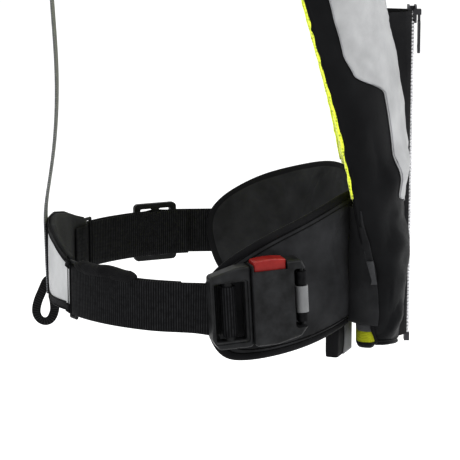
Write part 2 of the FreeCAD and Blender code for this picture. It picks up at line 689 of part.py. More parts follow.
def teardrop_loop():
    """The tape loop that hangs from the back pad's lower edge, for a crotch strap."""
    tape = 12.0
    outer = [(5.4, -12), (8.5, -20), (13.5, -30), (18, -41), (12, -50.5), (3, -52.5), (-5, -46), (-5.8, -36),
             (-1.2, -29.5), (4.9, -24)]
    inner = [(11, -32), (15.4, -40.5), (10.5, -48), (3, -50), (-2.8, -44.5), (-3.4, -37), (1.5, -31.5),
             (6.4, -27.5)]
    ring_face, hole_face = (
        Part.Face(Part.Wire([curve([Vector(0, LOOP_BACK_DEPTH + y, z) for y, z in outline], closed=True)]))
        for outline in (outer, inner))
    solid = ring_face.extrude(Vector(tape, 0, 0)).cut(hole_face.extrude(Vector(tape, 0, 0)))
    solid.translate(Vector(-tape / 2, 0, 0))
    return solid


SLEEVE_ANGLE = 148.0


def front_sleeve():
    """The short tape sleeve behind the right wing's lower edge that takes a crotch strap's end."""
    tube = box(-15, 15, -5.5, 5.5, -56, -26.5).cut(box(-13.4, 13.4, -3.9, 3.9, -62, -20))
    tube.rotate(ORIGIN, UP, plan_degrees(loop_forward(SLEEVE_ANGLE)))
    tube.translate(loop_point(SLEEVE_ANGLE, -13.2))
    return tube


BACK_STRAP = [(0, 127.5, 333), (0, 131, 300), (0, 131, 240), (0, 129, 170), (0, 131.5, 100), (0, 137.6, 54),
              (0, 138.5, 30), (0, 138.5, 5), (0, 138.4, -22)]


def back_strap():
    """The upright webbing from the collar to the back pad."""
    width, thick = 28.0, 1.8
    spine = Part.BSplineCurve()
    spine.interpolate(Points=[Vector(*p) for p in BACK_STRAP])
    inner, outer = [], []
    for p in spread(spine.FirstParameter, spine.LastParameter, 24):
        here, heading = spine.value(p), spine.tangent(p)[0]
        side = Vector(1, 0, 0).cross(heading).normalize() * (thick / 2)
        inner.append(here - side)
        outer.append(here + side)
    ends = [Part.makeLine(inner[0], outer[0]), Part.makeLine(inner[-1], outer[-1])]
    face = Part.Face(Part.Wire(Part.__sortEdges__([curve(inner), curve(outer)] + ends)))
    strap = face.extrude(Vector(width, 0, 0))
    strap.translate(Vector(-width / 2, 0, 0))
    return strap


# ---------------------------------------------------------------- inflation gear inside the lobes
def gear_frame(low_index, high_index):
    """A placement whose z axis runs up inside the right lobe, x towards the zip and y towards the wearer."""
    low, high = Station(low_index), Station(high_index)
    start, end = low.at(0, 1.0), high.at(0, 1.0)
    z = (end - start).normalize()
    y = (low.outward * -1 - z * z.dot(low.outward * -1)).normalize()
    x = y.cross(z)
    return Placement(Matrix(x.x, y.x, z.x, start.x, x.y, y.y, z.y, start.y, x.z, y.z, z.z, start.z,
                            0, 0, 0, 1))


LEFT_GEAR = gear_frame(2.25, 4.2)
RIGHT_GEAR = gear_frame(2.1, 4.2)
LEVER_PIVOT = (-20.0, 0.0, -12.0)
GRIP_SPAN = (-20.0, 2.0)     # the pull handle's two ends, x in its gear frame


def set_gear(shape, placement):
    moved = shape.copy()
    moved.Placement = placement.multiply(moved.Placement)
    return moved


def inflator_body():
    body = rounded(box(-16, 16, -9.5, 9.5, -30, 0), 3.0, lambda e: along(e, UP))
    neck_bore = rod(6.6, Vector(0, 0, -8), UP, 20)
    pin_bore = rod(2.0, Vector(0, 0, -28), UP, 40)
    ears = box(-23.5, -15, -7.5, 7.5, -16, -8)
    gap = box(-40, -16.4, -4.4, 4.4, -40, 10)
    lever_pin = rod(1.5, Vector(LEVER_PIVOT[0], -7.5, LEVER_PIVOT[2]), Vector(0, 1, 0), 15)
    return body.fuse(ears).cut(gap).fuse(lever_pin).cut(neck_bore).cut(pin_bore).removeSplitter()


def co2_cylinder():
    bottle = rod(CYLINDER_R, Vector(0, 0, 8), UP, CYLINDER_LENGTH - 8)
    bottle = rounded(bottle, 6.0, lambda e: e.BoundBox.ZMax > 6)
    neck = rod(6.4, Vector(0, 0, -4.0), UP, 16)
    return bottle.fuse(neck).removeSplitter()


def piercing_pin():
    shaft = rod(1.6, Vector(0, 0, -24), UP, 13)
    point = Part.makeCone(1.6, 0.2, 4, Vector(0, 0, -11))
    return shaft.fuse(point).removeSplitter()


def inflator_lever():
    x, _, z = LEVER_PIVOT
    hub = rod(3.0, Vector(x, -3.6, z), Vector(0, 1, 0), 7.2)
    arm = box(x - 1.6, x + 1.6, -3.6, 3.6, z - 20, z)
    hole = rod(1.56, Vector(x, -10, z), Vector(0, 1, 0), 20)
    return hub.fuse(arm).cut(hole).removeSplitter()


def pull_handle():
    """The manual pull: a short tape stem and a moulded handle tucked in behind the lobe's lower end."""
    x, _, z = LEVER_PIVOT
    stem = box(x - 3, x + 5, 0, 1.6, -60, z - 22)
    grip = rounded(box(*GRIP_SPAN, 0, 6.6, -75, -60), 3.0, lambda e: along(e, Vector(0, 1, 0)))
    grip = rounded(grip, 1.2, lambda e: e.BoundBox.YLength < 0.01)
    return stem.fuse(grip).removeSplitter()


def sensor_cap():
    cap = rod(8.0, Vector(2, 0, -44), UP, 13.6)
    return rounded(cap, 2.0, lambda e: e.BoundBox.ZMax < -43)


def oral_tube():
    tube = rod(6.0, Vector(0, 0, 0), UP, 84)
    flange = rod(8.6, Vector(0, 0, -3), UP, 3.0)
    return tube.fuse(flange).cut(rod(4.2, Vector(0, 0, -5), UP, 100)).removeSplitter()


def oral_valve():
    seat = rod(4.0, Vector(0, 0, 74), UP, 9)
    return seat.cut(rod(2.2, Vector(0, 0, 70), UP, 20)).fuse(rod(1.2, Vector(0, 0, 76), UP, 6)).fuse(
        box(-3.0, 3.0, -0.5, 0.5, 78, 80)).removeSplitter()


def oral_cap():
    cap = rod(8.0, Vector(0, 0, 74), UP, 14)
    return cap.cut(rod(6.3, Vector(0, 0, 60), UP, 26)).removeSplitter()


def whistle():
    body = rounded(box(-17, 17, -5, 5, -34, -20), 3.0, lambda e: along(e, Vector(0, 1, 0)))
    chamber = box(-12, 12, -3.2, 3.2, -31.5, -22.5)
    mouth = box(11, 30, -2.4, 2.4, -29.5, -24.5)
    return body.cut(chamber).cut(mouth)


def light_pieces():
    """The water-activated light that clips on the bladder at the left shoulder."""
    battery = rounded(box(-9, 9, -5.5, 5.5, -26, 8), 2.5, lambda e: along(e, UP))
    lens = Part.makeSphere(5.4, Vector(0, 0, 13.5)).common(box(-9, 9, -9, 9, 8.2, 30))
    return battery, lens


def inflation_gear():
    bladder = padding(steps(1, LAST - 1), 5.0, 5.6)
    shoulder = gear_frame(6.6, 7.2)
    battery, lens = light_pieces()
    left_room = [box(-60, 60, -40, 40, -120, 5), rod(CYLINDER_R + 1.5, ORIGIN, UP, CYLINDER_LENGTH + 3)]
    right_room = [box(-20, 20, -30, 30, -38, 1), rod(9.5, ORIGIN, UP, 106)]
    light_room = box(-11, 11, -30, 30, -28, 21)
    for room in left_room:
        bladder = bladder.cut(mirrored(set_gear(room, LEFT_GEAR)))
    for room in right_room:
        bladder = bladder.cut(set_gear(room, RIGHT_GEAR))
    bladder = bladder.cut(mirrored(set_gear(light_room, shoulder)))
    save("bladder", bladder)
    left = {"inflator_body": inflator_body(), "co2_cylinder": co2_cylinder(),
            "piercing_pin": piercing_pin(), "inflator_lever": inflator_lever(),
            "sensor_cap": sensor_cap(), "manual_pull_handle": pull_handle()}
    for name, shape in left.items():
        save(name, mirrored(set_gear(shape, LEFT_GEAR)))
    right = {"oral_tube": oral_tube(), "oral_valve": oral_valve(), "oral_tube_cap": oral_cap(),
             "whistle": whistle()}
    for name, shape in right.items():
        save(name, set_gear(shape, RIGHT_GEAR))
    save("light_battery", mirrored(set_gear(battery, shoulder)))
    save("light_lens", mirrored(set_gear(lens, shoulder)))


def main():
    os.makedirs("parts", exist_ok=True)
    cover_pieces()
    save("end_gusset_right", end_gusset(0, -1))
    handle_way = box(GRIP_SPAN[0] - 6, GRIP_SPAN[1] + 2, -1.2, 7.8, -160, -40)
    handle_way = mirrored(set_gear(handle_way, LEFT_GEAR))
    save("end_gusset_left", end_gusset(LAST, 1).cut(handle_way))
    save("panel_right", contrast_panel(3.0, 8.5))
    save("panel_left", contrast_panel(LAST - 8.5, LAST - 3.0))
    save("belt_keeper_right", belt_keeper(1.3, 2.55))
    save("belt_keeper_left", belt_keeper(LAST - 2.55, LAST - 1.3))
    zip_pieces()
    save("wing_right", wing())
    save("wing_left", mirrored(wing()))
    save("front_belt", loop_band(WING_END + 1.2, 360 - WING_END - 1.2, -3.6, 2.4, BELT_Z - 20, BELT_Z + 20))
    save("back_pad", back_pad())
    save("back_panel", back_panel())
    save("ring_right", ring(RING_ANGLE))
    save("ring_left", mirrored(ring(RING_ANGLE)))
    save("back_tab_right", back_tab())
    save("back_tab_left", mirrored(back_tab()))
    save("side_webbing_right", right_webbing())
    save("side_webbing_left", mirrored(left_webbing()))
    save("adjuster_left", mirrored(adjuster()))
    save("back_strap", back_strap())
    save("crotch_loop_back", teardrop_loop())
    save("crotch_sleeve_front", front_sleeve())
    buckle_pieces()
    inflation_gear()


main()
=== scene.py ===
import math

import bpy
import numpy as np
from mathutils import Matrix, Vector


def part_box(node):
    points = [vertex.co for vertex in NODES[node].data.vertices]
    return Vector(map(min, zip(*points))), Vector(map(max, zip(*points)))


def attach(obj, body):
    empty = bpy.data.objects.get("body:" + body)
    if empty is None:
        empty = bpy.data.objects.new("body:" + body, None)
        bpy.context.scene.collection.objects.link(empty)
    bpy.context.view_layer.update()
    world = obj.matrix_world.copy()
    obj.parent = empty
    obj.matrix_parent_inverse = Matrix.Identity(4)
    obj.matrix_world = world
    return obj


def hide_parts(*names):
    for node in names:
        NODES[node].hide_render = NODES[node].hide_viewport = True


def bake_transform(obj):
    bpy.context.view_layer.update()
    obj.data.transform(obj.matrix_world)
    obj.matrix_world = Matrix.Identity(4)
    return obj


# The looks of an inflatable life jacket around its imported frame, in metres. The wearer faces -Y, the
# wearer's right is -X, +Z is up, and the origin is the middle of the waist loop.

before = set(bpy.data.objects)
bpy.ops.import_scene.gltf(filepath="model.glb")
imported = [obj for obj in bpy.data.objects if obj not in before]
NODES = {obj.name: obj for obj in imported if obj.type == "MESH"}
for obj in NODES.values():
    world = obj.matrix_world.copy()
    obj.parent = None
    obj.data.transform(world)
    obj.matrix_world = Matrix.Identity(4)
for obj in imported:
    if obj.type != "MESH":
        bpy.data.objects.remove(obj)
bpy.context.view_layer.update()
MM = 0.001

# ---------------------------------------------------------------- driving dimensions, as in the design
LOOP_HALF_WIDTH, LOOP_BACK_DEPTH, LOOP_FRONT_DEPTH = 0.143, 0.135, 0.1265
WEBBING, WEBBING_THICK = 0.040, 0.0018
ZIP_Y, TOOTH_PITCH = -0.1635, 0.003
RING_ANGLE, RING_DROP, RING_BAR, RING_WIRE = 36.0, -0.0015, 0.0040, 0.0014
INNER_LAYER, OUTER_LAYER = -0.0014, 0.0046
BUCKLE_ANGLE, BUCKLE_TILT, BUCKLE_OFFSET = 104.4, 3.0, 0.0046
COVER_EDGE = 28.0
SIDE_POWER, FACE_POWER = 0.62, 0.85

# Each station of the pad: middle of its neck-side edge, middle of its outer edge, thickness, bulge (mm).
STATIONS = [
    ((-15, -146.5, -62), (-76, -138, -48), 18, 1),
    ((-9.3, -146.5, -40), (-88, -134.6, -30), 27, 2),
    ((-9, -146, 0), (-91, -133, 4), 29, 3),
    ((-9, -145.5, 60), (-95, -120, 64), 33, 4),
    ((-9, -145, 120), (-106, -107, 124), 35, 5),
    ((-9, -136, 180), (-118, -90, 184), 35, 7),
    ((-15, -126, 235), (-131, -74, 240), 34, 8),
    ((-33, -111, 290), (-141, -55, 300), 32, 9),
    ((-50, -84, 345), (-147, -28, 352), 29, 8),
    ((-56, -38, 388), (-150, 2, 376), 27, 7),
    ((-57, 6, 404), (-148, 36, 376), 26, 6),
    ((-51, 48, 411), (-121, 84, 367), 26, 6),
    ((-30, 74, 413), (-72, 117, 347), 27, 7),
    ((0, 82, 414), (0, 133, 335), 28, 8),
]
MIDDLE = len(STATIONS) - 1
LAST = 2 * MIDDLE
SHOULDER = 10


# ---------------------------------------------------------------- numbers and curves
def unit(v):
    return v / np.maximum(np.linalg.norm(v, axis=-1, keepdims=True), 1e-12)


def spline(points, at, closed=False):
    """A smooth curve through points at the parameters 0, 1, 2 and so on."""
    p = np.asarray(points, float)
    n = len(p)
    if closed:
        system = 4 * np.eye(n) + np.roll(np.eye(n), 1, 0) + np.roll(np.eye(n), -1, 0)
        second = np.linalg.solve(system, 6 * (np.roll(p, -1, 0) - 2 * p + np.roll(p, 1, 0)))
        p, second = np.vstack([p, p[:1]]), np.vstack([second, second[:1]])
    else:
        system = np.eye(n)
        for row in range(1, n - 1):
            system[row, row - 1:row + 2] = (1, 4, 1)
        right = np.zeros_like(p)
        right[1:-1] = 6 * (p[2:] - 2 * p[1:-1] + p[:-2])
        second = np.linalg.solve(system, right)
    at = np.atleast_1d(np.asarray(at, float))
    cell = np.clip(at.astype(int), 0, len(p) - 2)
    t = (at - cell)[:, None]
    a, b, sa, sb = p[cell], p[cell + 1], second[cell], second[cell + 1]
    return a * (1 - t) + b * t + ((1 - t) ** 3 - (1 - t)) * sa / 6 + (t ** 3 - t) * sb / 6


def smooth_path(points, step, closed=False):
    """Evenly spaced points of a smooth curve through points."""
    count = len(points) if closed else len(points) - 1
    fine = spline(points, np.linspace(0, count, count * 16 + 1), closed)
    return even(fine, step)


def even(points, step):
    lengths = np.concatenate([[0], np.cumsum(np.linalg.norm(np.diff(points, axis=0), axis=1))])
    count = max(2, int(round(lengths[-1] / step)) + 1)
    at = np.linspace(0, lengths[-1], count)
    return np.stack([np.interp(at, lengths, points[:, k]) for k in range(points.shape[1])], axis=1)


def wave_noise(p, size, seed):
    """Smooth noise from -1 to 1 of points p, made of a few crossing waves about size long."""
    rng = np.random.default_rng(seed)
    total = np.zeros(p.shape[:-1])
    for _ in range(7):
        direction = unit(rng.normal(size=3)) * rng.uniform(0.7, 1.5) / size
        total = total + np.sin(p @ direction * 2 * math.pi + rng.uniform(0, 6.28))
    return total / 3.5


def smoothstep(low, high, x):
    t = np.clip((x - low) / (high - low), 0, 1)
    return t * t * (3 - 2 * t)


# ---------------------------------------------------------------- meshes
def add_mesh(name, verts, faces, mat, body="jacket", lay=None, smooth=True):
    data = bpy.data.meshes.new(name)
    data.from_pydata([tuple(v) for v in np.asarray(verts, float)], [], [tuple(f) for f in faces])
    data.update()
    if smooth:
        data.polygons.foreach_set("use_smooth", [True] * len(data.polygons))
    if lay is not None:
        attribute = data.attributes.new("lay", "FLOAT_VECTOR", "POINT")
        attribute.data.foreach_set("vector", np.asarray(lay, float).ravel())
    obj = bpy.data.objects.new(name, data)
    bpy.context.scene.collection.objects.link(obj)
    data.materials.append(mat)
    fix_normals(data)
    if body:
        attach(obj, body)
    return obj


def fix_normals(data):
    import bmesh
    bm = bmesh.new()
    bm.from_mesh(data)
    bmesh.ops.recalc_face_normals(bm, faces=bm.faces)
    bm.to_mesh(data)
    bm.free()


def grid_faces(rows, cols, wrap_rows=False, wrap_cols=False):
    faces = []
    for i in range(rows if wrap_rows else rows - 1):
        for j in range(cols if wrap_cols else cols - 1):
            a, b = i * cols + j, i * cols + (j + 1) % cols
            c, d = ((i + 1) % rows) * cols + (j + 1) % cols, ((i + 1) % rows) * cols + j
            faces.append((a, b, c, d))
    return faces


def add_thickness(obj, amount, offset=-1.0):
    solid = obj.modifiers.new("cloth_thickness", "SOLIDIFY")
    solid.thickness = amount
    solid.offset = offset
    return obj


def sweep(name, path, side, profile, mat, body="jacket", closed=False, caps=True):
    """A profile of (across, out) points swept along a path. side gives the across direction at each point."""
    path, side = np.asarray(path, float), np.broadcast_to(np.asarray(side, float), np.shape(path))
    if closed:
        run = np.roll(path, -1, 0) - np.roll(path, 1, 0)
    else:
        run = np.gradient(path, axis=0)
    run = unit(run)
    side = unit(side - run * np.sum(side * run, axis=1, keepdims=True))
    out = np.cross(run, side)
    profile = np.asarray(profile, float)
    verts = (path[:, None] + side[:, None] * profile[None, :, :1] + out[:, None] * profile[None, :, 1:2])
    rows, cols = len(path), len(profile)
    faces = grid_faces(rows, cols, wrap_rows=closed, wrap_cols=True)
    if caps and not closed:
        faces += [tuple(range(cols))[::-1], tuple(range((rows - 1) * cols, rows * cols))]
    lengths = np.concatenate([[0], np.cumsum(np.linalg.norm(np.diff(path, axis=0), axis=1))])
    lay = np.zeros((rows, cols, 3))
    lay[..., 0] = lengths[:, None]
    lay[..., 1] = profile[None, :, 0]
    return add_mesh(name, verts.reshape(-1, 3), faces, mat, body, lay.reshape(-1, 3))


def flat_profile(width, thick, across=10, edge=0.35):
    """A rounded strip's outline: width across, thick through, slimmer at its edges."""
    half, t = width / 2, thick / 2
    xs = np.linspace(-half + t, half - t, across)
    top = [(x, t * (1 - edge * smoothstep(0.8, 1.0, abs(x) / half))) for x in xs]
    round_end = [(half - t * 0.3, t * 0.35), (half - t * 0.3, -t * 0.35)]
    other = [(-x, -y) for x, y in top]
    return top + round_end + other + [(-x, -y) for x, y in round_end]


def round_profile(radius, count=10, flatten=1.0):
    a = np.linspace(0, 2 * math.pi, count, endpoint=False)
    return np.stack([radius * np.cos(a), radius * flatten * np.sin(a)], axis=1)


def stitches(name, path, out, mat, body="jacket", pitch=0.0034, length=0.0024, radius=0.00032):
    """A row of short thread runs, lying on a surface whose outward direction is out."""
    path = np.asarray(path, float)
    out = np.broadcast_to(np.asarray(out, float), path.shape)
    both = even(np.hstack([path, out]), pitch)
    at, out = both[:, :3], unit(both[:, 3:])
    run = unit(np.gradient(at, axis=0))
    side = np.cross(run, out)
    verts, faces = [], []
    ring = [(math.cos(a), math.sin(a)) for a in np.linspace(0, 2 * math.pi, 6, endpoint=False)]
    stations = [(-0.5, 0.35, -0.5), (-0.3, 1.0, 0.35), (0.3, 1.0, 0.35), (0.5, 0.35, -0.5)]
    for p, r, s, o in zip(at, run, side, out):
        base = len(verts)
        for along, fat, lift in stations:
            for c, d in ring:
                verts.append(p + r * along * length + s * c * fat * radius * 1.3 + o * (d * fat + lift) * radius)
        count = len(ring)
        for k in range(len(stations) - 1):
            for j in range(count):
                a, b = base + k * count + j, base + k * count + (j + 1) % count
                faces.append((a, b, b + count, a + count))
        faces.append(tuple(base + j for j in range(count)))
        faces.append(tuple(base + (len(stations) - 1) * count + j for j in reversed(range(count))))
    return add_mesh(name, verts, faces, mat, body)


# ---------------------------------------------------------------- materials
CLOTH_SPECULAR = 0.05        # cloth is duller than plastic


def new_material(name, color, roughness, **sockets):
    mat = bpy.data.materials.new(name)
    mat.use_nodes = True
    tree = mat.node_tree
    shader = tree.nodes["Principled BSDF"]
    shader.inputs["Base Color"].default_value = (*color, 1)
    shader.inputs["Roughness"].default_value = roughness
    for key, value in sockets.items():
        shader.inputs[key.replace("_", " ")].default_value = value
    return mat, tree, shader


def node(tree, kind, **settings):
    n = tree.nodes.new(kind)
    for key, value in settings.items():
        if key in n.inputs:
            n.inputs[key].default_value = value
        else:
            setattr(n, key, value)
    return n


def coordinates(tree, attribute=False):
    if attribute:
        n = node(tree, "ShaderNodeAttribute", attribute_name="lay")
        return n.outputs["Vector"]
    return node(tree, "ShaderNodeTexCoord").outputs["Object"]


def math_node(tree, operation, a, b=None):
    n = node(tree, "ShaderNodeMath", operation=operation)
    for socket, value in zip(n.inputs, (a, b)):
        if value is None:
            continue
        if isinstance(value, (int, float)):
            socket.default_value = value
        else:
            tree.links.new(value, socket)
    return n.outputs[0]


def waves(tree, vector, axis, pitch):
    """A smooth ripple from 0 to 1 along an axis of the vector, repeating every pitch metres."""
    split = node(tree, "ShaderNodeSeparateXYZ")
    tree.links.new(vector, split.inputs[0])
    turned = math_node(tree, "MULTIPLY", split.outputs[axis], 2 * math.pi / pitch)
    return math_node(tree, "MULTIPLY_ADD", math_node(tree, "SINE", turned), 0.5)


def noise_node(tree, vector, size, detail=4.0, roughness=0.55):
    n = node(tree, "ShaderNodeTexNoise", Scale=1.0 / size, Detail=detail, Roughness=roughness)
    tree.links.new(vector, n.inputs["Vector"])
    return n.outputs["Fac"]


def ramp(tree, value, stops):
    n = node(tree, "ShaderNodeValToRGB")
    elements = n.color_ramp.elements
    while len(elements) < len(stops):
        elements.new(0.5)
    for element, (place, color) in zip(elements, stops):
        element.position = place
        element.color = (*color, 1) if len(color) == 3 else color
    tree.links.new(value, n.inputs[0])
    return n.outputs["Color"]


def bump(tree, shader, height, distance, strength=1.0):
    n = node(tree, "ShaderNodeBump", Strength=strength, Distance=distance)
    tree.links.new(height, n.inputs["Height"])
    previous = shader.inputs["Normal"].links
    if previous:
        tree.links.new(previous[0].from_socket, n.inputs["Normal"])
    tree.links.new(n.outputs["Normal"], shader.inputs["Normal"])


def tint(tree, shader, value, dark, light, low=0.3, high=0.7):
    tree.links.new(ramp(tree, value, [(low, dark), (high, light)]), shader.inputs["Base Color"])


def rough_range(tree, shader, value, low, high):
    n = node(tree, "ShaderNodeMapRange")
    n.inputs["To Min"].default_value = low
    n.inputs["To Max"].default_value = high
    tree.links.new(value, n.inputs["Value"])
    tree.links.new(n.outputs[0], shader.inputs["Roughness"])


def woven(name, dark, light, roughness, pitch=0.0006, depth=0.00008, crease=0.0005, sheen=0.02):
    """Plain woven cloth: crossing threads, soft creases and a slightly uneven tone."""
    mat, tree, shader = new_material(name, dark, roughness, Sheen_Weight=sheen, Sheen_Roughness=0.4,
                                     Specular_IOR_Level=CLOTH_SPECULAR)
    at = coordinates(tree)
    tint(tree, shader, noise_node(tree, at, 0.03, 5), dark, light)
    rough_range(tree, shader, noise_node(tree, at, 0.012), roughness - 0.07, roughness + 0.07)
    bump(tree, shader, noise_node(tree, at, 0.022, 3, 0.5), crease)
    turned = node(tree, "ShaderNodeMapping", Rotation=(0.5, 0.6, 0.4))
    tree.links.new(at, turned.inputs["Vector"])
    thread_a = waves(tree, turned.outputs[0], 0, pitch)
    thread_b = waves(tree, turned.outputs[0], 2, pitch)
    bump(tree, shader, math_node(tree, "MAXIMUM", thread_a, thread_b), depth)
    return mat


def ribbed(name, dark, light, roughness, pitch=0.0020):
    """Webbing: ribs across the strap, a fine twill between them, and rib crowns tinted lighter as a painted highlight.
    """
    mat, tree, shader = new_material(name, dark, roughness, Specular_IOR_Level=CLOTH_SPECULAR)
    at = coordinates(tree, attribute=True)
    rib = waves(tree, at, 0, pitch)
    cross = waves(tree, at, 1, pitch * 1.6)
    weave = math_node(tree, "MULTIPLY", rib, math_node(tree, "MULTIPLY_ADD", cross, 0.35))
    uneven = noise_node(tree, coordinates(tree), 0.004, 3)
    # Painted highlight: the rib crowns are tinted lighter, varied by a fine noise.
    tint(tree, shader, math_node(tree, "MULTIPLY", rib, uneven), dark, light, 0.1, 0.6)
    bump(tree, shader, weave, 0.00035)
    bump(tree, shader, uneven, 0.0001)
    return mat


def spacer_mesh():
    """Bright knitted mesh: a honeycomb of small dark openings."""
    mat, tree, shader = new_material("spacer_mesh", (0.62, 0.72, 0.02), 0.6, Sheen_Weight=0.3)
    at = coordinates(tree)
    cells = node(tree, "ShaderNodeTexVoronoi", Scale=1 / 0.0028, Randomness=0.25)
    tree.links.new(at, cells.inputs["Vector"])
    hole = cells.outputs["Distance"]
    tree.links.new(ramp(tree, hole, [(0.10, (0.20, 0.24, 0.01)), (0.42, (0.66, 0.74, 0.03)),
                                     (0.8, (0.78, 0.86, 0.06))]), shader.inputs["Base Color"])
    bump(tree, shader, hole, 0.0006)
    return mat


def moulded(name, dark, light, roughness, grain=0.0005, depth=0.00004, **sockets):
    """Moulded plastic: fine grain and a slight mottle."""
    mat, tree, shader = new_material(name, dark, roughness, **sockets)
    at = coordinates(tree)
    tint(tree, shader, noise_node(tree, at, 0.011, 5), dark, light, 0.35, 0.95)
    rough_range(tree, shader, noise_node(tree, at, 0.006), roughness - 0.06, roughness + 0.08)
    bump(tree, shader, noise_node(tree, at, grain, 2), depth)
    return mat


def metal(name, color, roughness):
    mat, tree, shader = new_material(name, color, roughness, Metallic=1.0)
    at = coordinates(tree)
    tint(tree, shader, noise_node(tree, at, 0.004), tuple(c * 0.8 for c in color), color)
    rough_range(tree, shader, noise_node(tree, at, 0.0015, 6), roughness - 0.08, roughness + 0.12)
    bump(tree, shader, noise_node(tree, at, 0.0006, 2), 0.00002)
    return mat


def film(name, dark, light, roughness, **sockets):
    """Coated cloth of the bladder, or rubber: smooth, with soft folds."""
    mat, tree, shader = new_material(name, dark, roughness, **sockets)
    at = coordinates(tree)
    tint(tree, shader, noise_node(tree, at, 0.02), dark, light)
    bump(tree, shader, noise_node(tree, at, 0.01, 4), 0.0006)
    return mat


NYLON = woven("black_nylon", (0.0060, 0.0062, 0.0068), (0.0100, 0.0103, 0.0112), 0.50)
SOFT_CLOTH = woven("wing_softshell", (0.0120, 0.0122, 0.0130), (0.0300, 0.0306, 0.0325), 0.62, 0.0008, 0.00005,
                   0.0003, sheen=0.03)
PANEL_CLOTH = woven("panel_cloth", (0.25, 0.253, 0.256), (0.33, 0.333, 0.337), 0.42, 0.0005, 0.00003, 0.0004)
LIGHT_CLOTH = woven("reflective_cloth", (0.34, 0.345, 0.35), (0.46, 0.465, 0.47), 0.42, 0.0005, 0.00003, 0.0004)
SLEEVE_CLOTH = woven("reflective_sleeve_cloth", (0.15, 0.152, 0.155), (0.21, 0.213, 0.217), 0.42, 0.0005, 0.00003,
                     0.0001)
FACE_CLOTH = woven("sleeve_face_cloth", (0.120, 0.122, 0.125), (0.170, 0.172, 0.176), 0.5, 0.0005, 0.00003, 0.0002)
# Painted shade: the yellow spacer mesh darkened to olive, for the tongue's mesh strip that lies in shade.
SHADED_MESH = woven("shade_darkened_yellow_mesh", (0.16, 0.17, 0.008), (0.36, 0.38, 0.02), 0.6, 0.0016, 0.00030, 0.0002)
KEEPER_CLOTH = woven("keeper_cloth", (0.040, 0.041, 0.043), (0.070, 0.071, 0.075), 0.55, 0.0010, 0.00010, 0.0001)
HOOK_CLOTH = woven("hook_cloth", (0.0040, 0.0040, 0.0045), (0.014, 0.014, 0.015), 0.75, 0.0013, 0.00030, 0.0008)
BINDING = woven("black_binding", (0.006, 0.006, 0.007), (0.011, 0.011, 0.012), 0.58, 0.0007, 0.00010, 0.0001)
TAPE = woven("zip_tape_weave", (0.007, 0.007, 0.008), (0.015, 0.015, 0.016), 0.6, 0.0009, 0.00012, 0.0001)
YELLOW_MESH = spacer_mesh()
BLACK_WEBBING = ribbed("black_webbing", (0.003, 0.003, 0.0035), (0.020, 0.0205, 0.022), 0.55)
GREY_WEBBING = ribbed("grey_webbing", (0.08, 0.083, 0.088), (0.24, 0.245, 0.255), 0.55)
THREAD = woven("black_thread", (0.0015, 0.0015, 0.0016), (0.004, 0.004, 0.0045), 0.5, 0.0003, 0.00005, 0.0)
LIGHT_THREAD = woven("light_thread", (0.22, 0.22, 0.23), (0.36, 0.36, 0.38), 0.5, 0.0003, 0.00005, 0.0)
BLACK_PLASTIC = moulded("buckle_plastic", (0.0060, 0.0062, 0.0066), (0.028, 0.029, 0.031), 0.42,
                        Specular_IOR_Level=0.16)
RED_PLASTIC = moulded("red_plastic", (0.165, 0.0060, 0.0050), (0.25, 0.018, 0.014), 0.30, 0.0008, 0.00002,
                      Specular_IOR_Level=0.3)
GREY_PLASTIC = moulded("grey_plastic", (0.05, 0.052, 0.055), (0.12, 0.12, 0.125), 0.45)
YELLOW_PLASTIC = moulded("yellow_plastic", (0.72, 0.60, 0.02), (0.80, 0.70, 0.08), 0.42)
CLEAR_PLASTIC = moulded("lamp_lens", (0.70, 0.72, 0.70), (0.85, 0.86, 0.85), 0.12, Transmission_Weight=0.5)
TOOTH_PLASTIC = moulded("zip_tooth_plastic", (0.45, 0.45, 0.46), (0.70, 0.70, 0.72), 0.3, Metallic=0.3)
DARK_METAL = metal("dark_metal", (0.06, 0.06, 0.065), 0.35)
STEEL = metal("steel", (0.52, 0.52, 0.54), 0.28)
BLADDER_FILM = film("bladder_film", (0.75, 0.62, 0.02), (0.85, 0.74, 0.05), 0.4)
RUBBER = film("black_rubber", (0.012, 0.012, 0.013), (0.02, 0.02, 0.021), 0.5)


# ---------------------------------------------------------------- the pad's surface
def pad_frames(index):
    right = np.array([s[0] + s[1] + (s[2], s[3]) for s in STATIONS], float) * MM
    left = right[-2::-1] * np.array([-1, 1, 1, -1, 1, 1, 1, 1])
    table = np.vstack([right, left])
    row = spline(table, index)
    step = 0.05
    ahead, behind = spline(table, np.minimum(index + step, LAST)), spline(table, np.maximum(index - step, 0))
    neck, outer = row[:, :3], row[:, 3:6]
    run = (ahead - behind)[:, :3] + (ahead - behind)[:, 3:6]
    across = unit(neck - outer)
    outward = unit(np.cross(across, run))
    return (neck + outer) / 2, across, outward, np.linalg.norm(neck - outer, axis=1), row[:, 6], row[:, 7]


def pad_point(index, angle, inset=0.0):
    """Points on the pad's outline. Angle 0 is the neck edge, 90 the outer face, 270 the wearer's side."""
    index, angle, inset = np.broadcast_arrays(np.atleast_1d(index), angle, inset)
    middle, across, outward, width, thick, bulge = pad_frames(index)
    a = np.radians(angle)
    u = (width / 2 - inset) * np.sign(np.cos(a)) * np.abs(np.cos(a)) ** SIDE_POWER
    v = (thick / 2 - inset) * np.sign(np.sin(a)) * np.abs(np.sin(a)) ** FACE_POWER
    rise = bulge * (1 - np.minimum(1, (2 * u / width) ** 2))
    return middle + across * u[:, None] + outward * (v + rise)[:, None]


SINK_RIGHT = 0.0018          # how far the cloth may sink in towards the bladder
SINK_LEFT = 0.0005           # and where the inflator's body lies close under it


